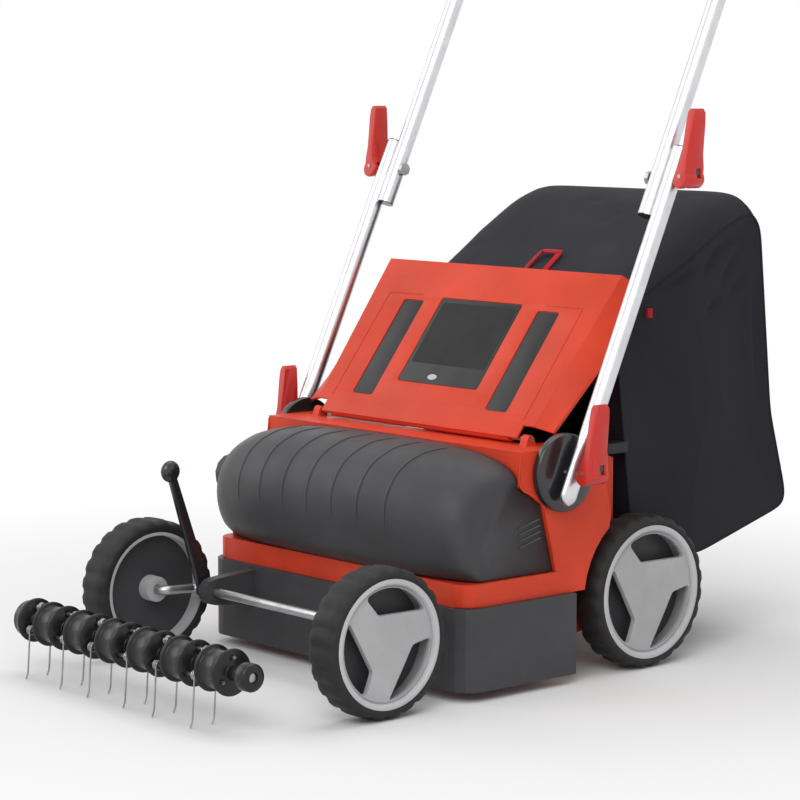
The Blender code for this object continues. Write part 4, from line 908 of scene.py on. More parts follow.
@dataclass
class Wheel:
    """One wheel: a tyre with chunky lugs and a closed rim with three openings."""

    end: str
    side: Side
    y: float
    radius: float
    outer: float = 0.250
    width: float = 0.046
    tyre_depth: float = 0.0155
    lip: float = 0.0045
    hub: float = 0.017
    axle_end: float = 0.2421
    bore: float = 0.0064
    tread: float = 0.0042
    groove: float = 0.0022
    lug_steps: int = 5
    lean: float = math.radians(7)
    segments: int = 120

    @property
    def name(self) -> str:
        """Return the wheel's own name."""
        return f"{self.end}_{self.side.word}"

    @property
    def body(self) -> str:
        """Return the name of the body that the wheel rides on."""
        return f"wheel_{self.name}"

    def spun(self, profile: Sequence[Flat]) -> Mesh:
        """Turn (radius, x) points about the wheel's axis."""
        return turned(profile, self.y, self.radius, self.side.value, self.segments)

    def tyre(self) -> None:
        """Build the tyre with 24 chunky lugs that lean into a chevron."""
        inner, outer = self.outer - self.width, self.outer
        seat, top = self.radius - self.tyre_depth, self.radius
        bm = self.spun([
            (seat, inner + 0.001), (seat + 0.004, inner), (top - 0.008, inner),
            (top - 0.0035, inner + 0.0018), (top - 0.0010, inner + 0.006),
            (top - 0.0002, inner + 0.012), (top, inner + 0.018), (top, outer - 0.018),
            (top - 0.0002, outer - 0.012), (top - 0.0010, outer - 0.006),
            (top - 0.0035, outer - 0.0018), (top - 0.008, outer - 0.0003),
            (seat + 0.006, outer - 0.0003), (seat + 0.0045, outer - 0.0014),
            (seat, outer - 0.0014)])
        centre = at(0, self.y, self.radius)
        middle = outer - self.width / 2
        for vert in bm.verts:
            arm = Vector((0, vert.co.y - centre.y, vert.co.z - centre.z))
            if arm.length < self.radius - self.tread:
                continue
            turn = round(math.atan2(arm.z, arm.y) / TAU * self.segments)
            if turn % self.lug_steps > self.lug_steps // 2:
                arm -= arm.normalized() * self.groove
            across = abs(abs(vert.co.x) - middle) / self.width
            arm.rotate(Matrix.Rotation(self.lean * across, 3, "X"))
            vert.co.y, vert.co.z = centre.y + arm.y, centre.z + arm.z
        piece(f"tyre_{self.name}_detail", bm,
              Look(Finish.TYRE, self.body, (f"tyre_{self.name}",), angle=40))

    def window(self, number: int) -> Mesh:
        """Return the cutter of one swirling opening between two spokes.

        Args:
            number: 0, 1 or 2.

        Returns:
            A prism through the rim's web.
        """
        rim = self.radius - self.tyre_depth
        far, near, sweep, step, mirror = 0.90 * rim, 0.51 * rim, 90, 6, 140
        end, last = math.radians(0.5 + 120 * number), sweep // step
        tips = {0: 0.002, last: 0.005}
        swirl = [(far, end - math.radians(sweep - step * k), tips.get(k, 0.0))
                 for k in range(last + 1)]
        swirl.append((near, end - math.radians(8), 0.008))
        corners = []
        for reach, angle, rounding in swirl:
            if self.side is Side.LEFT:
                angle = math.radians(mirror) - angle
            corners.append((self.y + reach * math.cos(angle),
                            self.radius + reach * math.sin(angle), rounding))
        low, high = (self.side.value * (self.outer + d) for d in (-0.03, 0.01))
        return prism(rounded(corners), low, high)

    def rim(self) -> None:
        """Build the smooth rim with its closed centre and three openings."""
        seat = self.radius - self.tyre_depth - 0.0004
        inner = self.outer - self.width
        far = seat - self.lip
        face = self.outer - 0.0045
        bm = self.spun([
            (0, face + 0.0008), (far * 0.5, face + 0.0007), (far * 0.85, face + 0.0003),
            (far - 0.0022, face - 0.0001), (far - 0.0008, face - 0.0016),
            (far + 0.0012, face - 0.0016), (seat, self.outer - 0.0066),
            (seat, inner + 0.001), (far, inner + 0.001), (far - 0.001, face - 0.0075),
            (far * 0.6, face - 0.0065), (self.hub + 0.001, face - 0.0070),
            (self.hub, inner), (self.bore, inner), (self.bore, self.axle_end),
            (0, self.axle_end)])
        piece(f"rim_{self.name}_detail", bm,
              Look(Finish.RIM, self.body, (f"rim_{self.name}",), bevel=0.0009, rounds=2,
                   angle=40, cutters=[self.window(k) for k in range(3)]))

    def trims(self) -> None:
        """Build the pale lip ring and a dark disc behind the openings, which is painted
        shade: it makes the openings read dark like the shaded inside of the wheel.
        """
        out = self.outer
        seat = self.radius - self.tyre_depth
        far = seat - self.lip
        ring = [(far, out - 0.0066), (far + 0.0006, out - 0.0012),
                (far + 0.0018, out - 0.0002), (seat + 0.0010, out - 0.0002),
                (seat + 0.0030, out - 0.0010), (seat + 0.0030, out - 0.0013),
                (seat - 0.0006, out - 0.0013), (seat - 0.0006, out - 0.0066)]
        piece(f"rim_lip_{self.name}", self.spun(ring),
              Look(Finish.RIM_LIP, self.body, angle=50))
        # Painted shade: this dark disc sits inside the wheel so that the openings show
        # dark, in place of the shade in there.
        deep = out - 0.027
        back = [(self.hub - 0.0005, deep - 0.0016), (far + 0.0006, deep - 0.0016),
                (far + 0.0006, deep), (self.hub - 0.0005, deep)]
        piece(f"wheel_back_{self.name}", self.spun(back),
              Look(Finish.ANTHRACITE, self.body, angle=40))

    def build(self) -> None:
        """Build the whole wheel."""
        self.tyre()
        self.rim()
        self.trims()


@dataclass
class RunningGear:
    """The wheels, the rear axle and the cranked front axle with its lever."""

    rear_radius: float = 0.0965
    front_radius: float = 0.0887
    crank_y: float = -0.163
    crank_z: float = 0.086
    rod: float = 0.006

    def crank(self) -> None:
        """Build the bent front axle as one round rod."""
        end, cheek = 0.2417, 0.192
        outer = (FRONT_AXLE_Y, self.front_radius)
        inner = (self.crank_y, self.crank_z)
        corners = [at(x, *flat) for x, flat in (
            (-end, outer), (-cheek, outer), (-cheek, inner),
            (cheek, inner), (cheek, outer), (end, outer))]
        piece("front_axle_rod", tube(bend(corners, 0.009, 8), self.rod, 24),
              Look(Finish.STEEL, "front_axle", ("front_crank_axle",)))

    def lever(self) -> None:
        """Build the depth lever as a tapered bar with a ball knob."""
        lean, length = math.radians(72), 0.165
        base = at(-0.176, self.crank_y, self.crank_z)
        tip = base + Vector((0, -math.cos(lean), math.sin(lean))) * length
        bar = swept([base.lerp(tip, k / 12) for k in range(13)],
                    lambda t: oval(0.0038, 0.0095 - 0.0040 * t, 24, power=0.5),
                    across=RIGHTWARD)
        hub = turned([(self.rod + 0.0004, -0.180), (0.0098, -0.180), (0.0098, -0.172),
                      (self.rod + 0.0004, -0.172)], self.crank_y, self.crank_z, 1, 40)
        knob = bmesh.new()
        bmesh.ops.create_uvsphere(knob, u_segments=32, v_segments=20, radius=0.0138)
        knob.transform(Matrix.Translation(tip) @ Matrix.Diagonal((0.56, 1.0, 1.0, 1.0)))
        piece("depth_lever_detail", gathered(bar, hub, knob),
              Look(Finish.BLACK_GLOSS, "front_axle", ("depth_lever",)))

    def build(self) -> None:
        """Build all four wheels and both axles."""
        for side in Side:
            Wheel("rear", side, REAR_Y, self.rear_radius).build()
            Wheel("front", side, FRONT_AXLE_Y, self.front_radius, lip=0.004,
                  hub=0.016).build()
        self.crank()
        self.lever()
        dress("rear_axle", Finish.STEEL)


# Housing -------------------------------------------------------------------


@dataclass
class Housing:
    """The red housing, the dark skirt, the motor cover and what they hold."""

    cover_half: float = 0.2372
    band_half: float = 0.242
    seam_x: float = 0.2421
    sections: int = 41

    HEART: Flat = (-0.03, 0.195)
    MIDDLE: tuple[Flat, ...] = ((-0.0925, 0.1408), (-0.118, 0.163), (-0.132, 0.198),
                                (-0.132, 0.236), (-0.112, 0.269), (-0.076, 0.287),
                                (-0.040, 0.2912), (-0.0058, 0.2902))
    ENDS: tuple[Flat, ...] = ((-0.060, 0.1408), (-0.076, 0.158), (-0.084, 0.183),
                              (-0.081, 0.208), (-0.067, 0.230), (-0.046, 0.245),
                              (-0.024, 0.254), (-0.0058, 0.2555))
    BACK: tuple[Flat, ...] = ((-0.0058, 0.2482), (0.0322, 0.2236), (0.0546, 0.1408))
    SEAM: tuple[Flat, ...] = ((0.0562, 0.142), (0.0342, 0.2243), (-0.0036, 0.2492),
                              (-0.0036, 0.288))

    def cover_row(self, place: float) -> list[Vector]:
        """Return the cover's curve from its front foot to its top at one place.

        Args:
            place: From -1 at the left end to 1 at the right end.

        Returns:
            The row's points.
        """
        dome = (1 - min(abs(place), 1.0) ** 3.4) ** 0.5
        x = place * self.cover_half
        knots = [Vector((0, *e)).lerp(Vector((0, *m)), dome)
                 for m, e in zip(self.MIDDLE, self.ENDS)]
        curve = smooth_path(knots, 5)
        return [at(x, p.y, p.z) for p in curve]

    def cover(self) -> None:
        """Build the dark domed cover with its end caps and raised ribs."""
        last = self.sections - 1
        bm = bmesh.new()
        grid = [[bm.verts.new(p) for p in self.cover_row(-math.cos(math.pi * k / last))]
                for k in range(self.sections)]
        for first, second in zip(grid, grid[1:]):
            for i in range(len(first) - 1):
                bm.faces.new((first[i], first[i + 1], second[i + 1], second[i]))
        for row, x in ((grid[0], -self.cover_half), (grid[-1], self.cover_half)):
            bm.faces.new(row + [bm.verts.new(at(x, *flat)) for flat in self.BACK])
        bmesh.ops.recalc_face_normals(bm, faces=bm.faces)
        shell = piece("motor_cover_shell", bm,
                      Look(Finish.ANTHRACITE, "machine", ("motor_cover",), angle=50))
        thicken(shell, 0.0026)
        self.cover_ribs()
        self.slits()

    def cover_point(self, place: float, share: float, lift: float) -> Vector:
        """Return a point on the cover, lifted off it.

        Args:
            place: From -1 to 1 along X.
            share: From 0 at the front foot to 1 at the top.
            lift: Distance off the surface.

        Returns:
            The point in the row frame.
        """
        row = self.cover_row(place)
        spot = share * (len(row) - 1)
        low = min(int(spot), len(row) - 2)
        here = row[low].lerp(row[low + 1], spot - low)
        along = (row[low + 1] - row[low]).normalized()
        ahead = self.cover_row(min(place + 0.01, 1.0))
        sideways = (ahead[low] - row[low]).normalized()
        out = sideways.cross(along)
        if out.dot(here - at(0, *self.HEART)) < 0:
            out = -out
        return here + out.normalized() * lift

    @staticmethod
    def rib_section(share: float) -> list[Flat]:
        """Return a rib's section, which fades out at both of its ends."""
        fade = math.sin(math.pi * min(max(share, 0.0), 1.0)) ** 0.3
        return oval(0.0021 * (0.4 + 0.6 * fade), 0.0013 * fade, 10)

    def cover_ribs(self) -> None:
        """Build the raised ribs over the dome."""
        foot, length, lift, steps = 0.30, 0.62, 0.0002, 20
        shapes = []
        for x in (-0.62, -0.42, -0.22, -0.02, 0.18, 0.38, 0.58):
            path = [self.cover_point(x, foot + length * k / steps, lift)
                    for k in range(steps + 1)]
            shapes.append(swept(path, self.rib_section, across=RIGHTWARD))
        piece("cover_ribs", gathered(*shapes),
              Look(Finish.ANTHRACITE, "machine", angle=60))

    def slits(self) -> None:
        """Build the short rising vent slits on the cover's flat end faces as thin black
        strips standing on the face: painted shade in place of open slits.
        """
        top, pitch, count = 0.1985, 0.0078, 4
        front, back, climb = -0.003, 0.034, 0.009
        shapes = []
        for side in Side:
            low, high = (side.value * (self.cover_half + d) for d in (-0.0006, 0.0005))
            for z in (top - pitch * k for k in range(count)):
                shapes.append(prism([(front, z - 0.0013), (back, z - 0.0013 + climb),
                                     (back, z + 0.0013 + climb), (front, z + 0.0013)],
                                    low, high))
        # Painted shade: the slits are not cut; black strips show where the openings
        # would lie in shade.
        piece("cover_vent_shade", gathered(*shapes),
              Look(Finish.BLACK_GLOSS, "machine", bevel=0.0003, rounds=2))

    def seams(self) -> None:
        """Build the trim that shows the joint lines of the housing."""
        ring = oval(0.0016, 0.0007, 10)
        strips = []
        for side in Side:
            x = side.value * self.seam_x
            path = [at(x, *flat) for flat in self.SEAM]
            strips.append(swept(smooth_path(path, 6), lambda _: ring,
                                across=Vector((0, 1, 0))))
        piece("cheek_seam", gathered(*strips), Look(Finish.RED, "machine", angle=60))

    def corners(self) -> None:
        """Build the rounded red trims over both front corners of the band."""
        radius, middle_y, low, high = 0.020, -0.072, 0.1126, 0.1394
        start, end = math.radians(-4), math.radians(94)
        outer = arc((0, 0), radius + 0.0004, start, end, 18)
        inner = arc((0, 0), radius - 0.0030, end, start, 18)
        for side in Side:
            x = side.value * (self.band_half - radius)
            ring = [(x + side.value * a, middle_y - b) for a, b in outer + inner]
            piece(f"band_corner_{side.word}", prism(ring, low, high, 2),
                  Look(Finish.RED, "machine", bevel=0.0007, rounds=3, angle=50))

    def build(self) -> None:
        """Dress the housing's solids and build the cover over them."""
        dress("main_housing", Finish.RED, 0.0016, 3)
        dress("lower_chassis", Finish.ANTHRACITE, 0.0014, 3)
        self.cover()
        self.seams()
        self.corners()
        dress("motor", Finish.STEEL, 0.001)
        dress("drive_belt", Finish.BELT)
        dress("belt_cover", Finish.ANTHRACITE, 0.001)
        dress("scarifier_knives", Finish.STEEL, 0.0003, 1)
        for node in ("motor_shaft", "blade_shaft", "roller_bearing_left",
                     "roller_bearing_right"):
            dress(node, Finish.STEEL)


# Flap ----------------------------------------------------------------------


@dataclass
class Flap:
    """The hinged red flap with its panel, inlays and edge strips."""

    angle: float = math.radians(52.3)
    pivot_y: float = 0.048
    pivot_z: float = 0.2985
    length: float = 0.240
    half: float = 0.232
    top_half: float = 0.2185
    low_half: float = 0.2050
    rise: float = 0.0068
    wall: float = 0.0028

    def point(self, x: float, along: float, up: float) -> Vector:
        """Return a point given in the flap's own plane.

        Args:
            x: Distance to the machine's right.
            along: Distance from the hinge.
            up: Distance off the plane.

        Returns:
            The point in the row frame.
        """
        y = self.pivot_y + along * math.cos(self.angle) - up * math.sin(self.angle)
        z = self.pivot_z + along * math.sin(self.angle) + up * math.cos(self.angle)
        return at(x, y, z)

    def slab(self, outline: Sequence[Flat], under: float, over: float) -> Mesh:
        """Extrude (x, along) points through the flap's thickness."""
        return loft([[self.point(x, s, n) for x, s in outline] for n in (under, over)])

    def rect(self, x0: float, x1: float, low: float, high: float,
             radius: float = 0.004) -> list[Flat]:
        """Return a rectangle with rounded corners.

        Args:
            x0: Its left side.
            x1: Its right side.
            low: Its edge nearer to the hinge.
            high: Its other edge.
            radius: Radius of its corners.

        Returns:
            The outline as (x, along) points.
        """
        left, right = x0 + radius, x1 - radius
        near, far = low + radius, high - radius
        points: list[Flat] = []
        for centre, start in (((right, near), -90), ((right, far), 0),
                              ((left, far), 90), ((left, near), 180)):
            points += arc(centre, radius, math.radians(start),
                          math.radians(start + 90), 5)
        return points

    def section(self, along: float) -> tuple[float, float, float]:
        """Return the hood's sizes at a place along the flap.

        Args:
            along: The distance from the hinge.

        Returns:
            The crown's half width, the skirt's half width and its depth.
        """
        t = max(along, 0.0) / self.length
        crown = self.low_half + (self.top_half - self.low_half) * t
        depth = 0.004 + 0.0235 * min(t / 0.62, 1.0)
        return crown, self.half, depth

    def rings(self, along: float) -> tuple[list[Flat], list[Flat]]:
        """Return the hood's outer and inner outline at a place along the flap.

        Args:
            along: The distance from the hinge.

        Returns:
            Both outlines as (x, up) points, the inner one running back.
        """
        crown, half, depth = self.section(along)
        rise, wall, foot, sill = self.rise, self.wall, 0.004, 0.0025
        outer = [(-half, -depth), (-half, -depth + foot), (-crown, rise),
                 (crown, rise), (half, -depth + foot), (half, -depth)]
        inner = [(half - wall, -depth), (half - wall, -depth + sill),
                 (crown - wall, rise - wall), (-crown + wall, rise - wall),
                 (-half + wall, -depth + sill), (-half + wall, -depth)]
        return outer, inner

    def shell(self) -> None:
        """Build the hood: a flat crown, sloping shoulders and side walls."""
        steps, before, short = 24, 0.0035, 0.0003
        end = self.length - short
        shape = []
        for k in range(steps + 1):
            along = -before + (end + before) * k / steps
            outer, inner = self.rings(along)
            shape.append([self.point(x, along, up) for x, up in outer + inner])
        recesses = [self.rect(-0.0762, 0.0762, 0.0548, 0.1852),
                    self.rect(0.1078, 0.1472, 0.0288, 0.1782),
                    self.rect(-0.1472, -0.1078, 0.0288, 0.1782)]
        cutters = [self.slab(outline, self.rise - 0.0016, 0.02) for outline in recesses]
        cutters += [self.slab(rectangle(x0, x1, -0.02, 0.0145), -0.03, 0.03)
                    for x0, x1 in ((0.187, 0.25), (-0.25, -0.187))]
        piece("flap_shell", loft(shape),
              Look(Finish.RED, "rear_flap", ("rear_flap_shell",), bevel=0.0011,
                   rounds=3, angle=20, cutters=cutters))
        plate = loft([[self.point(x, along, up) for x, up in self.rings(end)[1]]
                      for along in (self.length - 0.0032, self.length - 0.0004)])
        piece("flap_end_wall", plate, Look(Finish.RED, "rear_flap"))
        sleeve = turned([(0.0034, -0.170), (0.0056, -0.170), (0.0056, 0.170),
                         (0.0034, 0.170)], self.pivot_y, self.pivot_z, 1, 32)
        piece("flap_sleeve", sleeve, Look(Finish.RED, "rear_flap"))

    def inlays(self) -> None:
        """Build the dark panel, its blank button and the two long inlays."""
        under, top = self.rise - 0.0014, self.rise - 0.0005
        corner = 0.0035
        panel = self.slab(self.rect(-0.0755, 0.0755, 0.0556, 0.1844, corner),
                          under, top)
        piece("flap_panel_plate", panel,
              Look(Finish.PANEL, "rear_flap", ("flap_panel",), bevel=0.0003, rounds=2))
        field = self.slab(self.rect(-0.069, 0.069, 0.085, 0.178, 0.003),
                          top, top + 0.00025)
        piece("flap_panel_field", field, Look(Finish.PANEL_FIELD, "rear_flap"))
        button = self.slab(oval(0.0085, 0.0042, 40, (-0.015, 0.0655)),
                           top, top + 0.0006)
        piece("flap_panel_button", button,
              Look(Finish.RIM_LIP, "rear_flap", bevel=0.0002, rounds=2))
        for side in Side:
            x0, x1 = sorted((side.value * 0.1085, side.value * 0.1465))
            strip = self.slab(self.rect(x0, x1, 0.0296, 0.1774, corner),
                              under, top - 0.0003)
            piece(f"flap_inlay_{side.word}_plate", strip,
                  Look(Finish.PANEL, "rear_flap", (f"flap_inlay_{side.word}",),
                       bevel=0.0003, rounds=2))
        self.steps()

    def steps(self) -> None:
        """Build the raised step line beyond each inlay."""
        shapes = []
        for side in Side:
            corners = [(0.116, 0.1862, 0), (0.1818, 0.1862, 0.004), (0.1818, 0.022, 0),
                       (0.1836, 0.022, 0), (0.1836, 0.1880, 0.005), (0.116, 0.1880, 0)]
            outline = [(side.value * x, s) for x, s in rounded(corners)]
            shapes.append(self.slab(outline, self.rise - 0.0005, self.rise + 0.0007))
        piece("flap_step_lines", gathered(*shapes),
              Look(Finish.RED, "rear_flap", bevel=0.0004, rounds=2))

    def build(self) -> None:
        """Build the flap and dress its hinge rod."""
        self.shell()
        self.inlays()
        dress("flap_hinge_rod", Finish.STEEL)


# Handle --------------------------------------------------------------------


@dataclass
class Handle:
    """The folding handle with its clamps, grip, switch box and bail."""

    angle: float = math.radians(65.2)
    pivot_y: float = 0.062
    pivot_z: float = 0.262
    tube_x: float = 0.268
    radius: float = 0.011
    upper_pivot: float = 0.385
    leg: float = 0.2454
    top: float = 0.865
    lever_front: float = -0.012
    lever_back: float = 0.022
    lever_taper: float = 0.014
    lever_length: float = 0.086
    cam_gap: float = 0.012

    DISC: tuple[Flat, ...] = ((0.0044, 0.2424), (0.0465, 0.2424), (0.0480, 0.2440),
                              (0.0480, 0.2500), (0.0476, 0.2516), (0.0466, 0.2528),
                              (0.0448, 0.2536), (0.0360, 0.2548), (0.0240, 0.2557),
                              (0.0120, 0.2562), (0.0044, 0.2564))
    LEVER: tuple[Flat, ...] = ((0.0098, 0.014), (0.0086, 0.030), (0.0100, 0.048),
                               (0.0119, 0.068), (0.0119, 0.080), (0.0088, 0.0855),
                               (0.0040, 0.0857), (0.0010, 0.082), (-0.0004, 0.060),
                               (-0.0010, 0.034), (-0.0030, 0.018), (-0.0075, 0.0100))

    @property
    def along(self) -> Vector:
        """Return the handle's direction."""
        return Vector((0, math.cos(self.angle), math.sin(self.angle)))

    def point(self, x: float, s: float) -> Vector:
        """Return a point at a length along the handle from its lower bolt."""
        return at(x, self.pivot_y, self.pivot_z) + self.along * s

    def flattened(self, start: float, full: float, thick: float
                  ) -> Callable[[float], list[Flat]]:
        """Return a round section that is pressed flat near the path's start.

        Args:
            start: Share of the path where the round section begins to show.
            full: Share of the path where it is fully round.
            thick: The flat part's half thickness.

        Returns:
            A function from a share of the path to the section's points.
        """
        tip_share, least, spread = 0.025, 0.10, 0.0018

        def section(share: float) -> list[Flat]:
            """Return the section at a share of the path.

            Args:
                share: The share.

            Returns:
                The section's points.
            """
            mix = min(max((share - start) / (full - start), 0.0), 1.0)
            mix = mix * mix * (3 - 2 * mix)
            tip = 1 - min(share / tip_share, 1.0)
            end = max(1 - tip ** 2, least) ** 0.5
            thin = (thick + (self.radius - thick) * mix) * (0.5 + 0.5 * end)
            wide = (self.radius + spread * (1 - mix)) * end
            return oval(thin, wide, 28)

        return section

    def tubes(self) -> None:
        """Build both lower tubes, each pressed flat at its foot."""
        foot, length, steps = -0.0395, 0.4640, 200
        for side in Side:
            name = f"lower_tube_{side.word}"
            x = side.value * self.tube_x
            path = [self.point(x, foot + length * k / steps) for k in range(steps + 1)]
            bm = swept(path, self.flattened(0.10, 0.24, 0.0062), across=RIGHTWARD)
            piece(f"{name}_round", bm,
                  Look(Finish.TUBE, "handle_lower", (name,), angle=50))
            plug = tube([self.point(x, 0.4235), self.point(x, 0.4262)], 0.0099, 24)
            piece(f"{name}_plug", plug, Look(Finish.BLACK_GLOSS, "handle_lower"))
            dress(f"lower_bolt_{side.word}", Finish.STEEL, 0.0005)
            dress(f"upper_bolt_{side.word}", Finish.STEEL, 0.0005)

    def bar(self) -> None:
        """Build the U-shaped upper bar and the plugs in its ends."""
        low = self.upper_pivot - 0.050
        corners = [self.point(-self.leg, low), self.point(-self.leg, self.top),
                   self.point(self.leg, self.top), self.point(self.leg, low)]
        piece("upper_bar_round", tube(bend(corners, 0.060, 16), self.radius, 28),
              Look(Finish.TUBE, "handle_upper", ("upper_handle",), angle=50))
        for side in Side:
            x = side.value * self.leg
            plug = tube([self.point(x, low - 0.0010), self.point(x, low + 0.004)],
                        0.0108, 28)
            piece(f"upper_bar_plug_{side.word}", plug,
                  Look(Finish.BLACK_GLOSS, "handle_upper"))

    def discs(self) -> None:
        """Build the glossy dark discs that the tubes turn on."""
        for side in Side:
            name = f"pivot_disc_{side.word}"
            bm = turned(self.DISC, self.pivot_y, self.pivot_z, side.value, 96)
            piece(f"{name}_detail", bm,
                  Look(Finish.BLACK_GLOSS, "machine", (name,), bevel=0.0005, rounds=2,
                       angle=30))

    def lever(self, side: Side, cam: Point) -> Mesh:
        """Return one cam lever, wider at its foot and rounded towards both faces.

        Args:
            side: The side that it is on.
            cam: The cam's centre, with X given for the right side.

        Returns:
            The lever before its slot is cut.
        """
        cam_x, cam_y, cam_z = cam
        outline = arc((cam_x, cam_z), 0.0113, math.radians(150), math.radians(396), 26)
        outline += [(cam_x + dx, cam_z + dz) for dx, dz in self.LEVER]
        middle_x, reach = cam_x + 0.003, 0.08
        rings = []
        for share, scale in ((0.0, 0.90), (0.05, 1.0), (0.5, 1.0), (0.95, 1.0),
                             (1.0, 0.90)):
            ring = []
            for x, z in outline:
                middle_z = min(max(z, cam_z), cam_z + reach)
                front = (self.lever_front
                         + self.lever_taper * (z - cam_z) / self.lever_length)
                ring.append(at(side.value * (middle_x + (x - middle_x) * scale),
                               cam_y + front + (self.lever_back - front) * share,
                               middle_z + (z - middle_z) * scale))
            rings.append(ring)
        return loft(rings)

    def clamp(self, level: str, side: Side, s: float) -> None:
        """Build one red cam lever with its pin, its pocket and a dark slab in the
        pocket that is painted shade.

        Args:
            level: "lower" or "upper".
            side: The side that it is on.
            s: Its bolt's place along the handle.
        """
        spot = self.point(0, s)
        cam = (self.tube_x + self.radius + self.cam_gap, spot.y + SHIFT, spot.z)

        def block(outline: Sequence[Flat], near: float, far: float) -> Mesh:
            """Extrude (x, z) points, measured from the cam, along Y."""
            return prism([(side.value * (cam[0] + x), cam[2] + z) for x, z in outline],
                         cam[1] + near, cam[1] + far, 1)

        name, body = f"clamp_lever_{level}_{side.word}", f"clamp_{level}_{side.word}"
        cutters = [block(rectangle(-0.02, 0.006, -0.02, 0.008), -0.0043, 0.0043),
                   block(rectangle(0.0080, 0.02, 0.001, 0.013), 0.0080, 0.0160)]
        piece(f"{name}_detail", self.lever(side, cam),
              Look(Finish.RED_LEVER, body, (name,), bevel=0.0011, rounds=3, angle=34,
                   cutters=cutters))
        pin = block(oval(0.0026, 0.0026, 20, (0.0, 0.004)), self.lever_front - 0.0004,
                    self.lever_back + 0.0004)
        piece(f"{name}_pin", pin, Look(Finish.STEEL, body))
        # Painted shade: a black slab at the bottom of the pocket makes the recess read
        # dark, in place of its shade.
        stop = block(rectangle(0.0070, 0.0084, 0.0014, 0.0126), 0.0084, 0.0156)
        piece(f"{name}_stop", stop,
              Look(Finish.BLACK_GLOSS, body, bevel=0.0003, rounds=2))

    def grip(self) -> None:
        """Build the soft sleeve with shallow rings."""
        spot = self.point(0, self.top)
        half, count = 0.116, 40
        profile = [(0.0113, -0.120), (0.0140, -0.120), (0.0150, -0.1185)]
        profile += [(0.0154 if k % 4 else 0.0149, -half + 2 * half * k / count)
                    for k in range(count + 1)]
        profile += [(0.0150, 0.1185), (0.0140, 0.120), (0.0113, 0.120)]
        piece("grip_sleeve", turned(profile, spot.y + SHIFT, spot.z, 1, 48),
              Look(Finish.SLEEVE, "handle_upper", ("handle_grip",), angle=50))

    def bail(self) -> None:
        """Build the round red bail in front of the grip."""
        pivot = self.point(0, self.top - 0.028)
        out = Vector((0, -math.sin(self.angle), math.cos(self.angle)))
        reach = out * 0.050 - self.along * 0.004
        arm = RIGHTWARD * 0.112
        corners = [pivot - RIGHTWARD * 0.124, pivot - arm, pivot - arm + reach,
                   pivot + arm + reach, pivot + arm, pivot + RIGHTWARD * 0.134]
        piece("switch_bail_round", tube(bend(corners, 0.0095, 8), 0.0045, 20),
              Look(Finish.RED_LEVER, "bail", ("switch_bail",)))

    def build(self) -> None:
        """Build the whole handle."""
        self.tubes()
        self.bar()
        self.discs()
        for side in Side:
            self.clamp("lower", side, 0.0)
            self.clamp("upper", side, self.upper_pivot)
        self.grip()
        self.bail()
        dress("switch_box", Finish.ANTHRACITE, 0.0012, 3)
        dress("bail_clip", Finish.ANTHRACITE, 0.0008)
        dress("safety_button", Finish.RED_LEVER, 0.0008, 3)


# Bag -----------------------------------------------------------------------


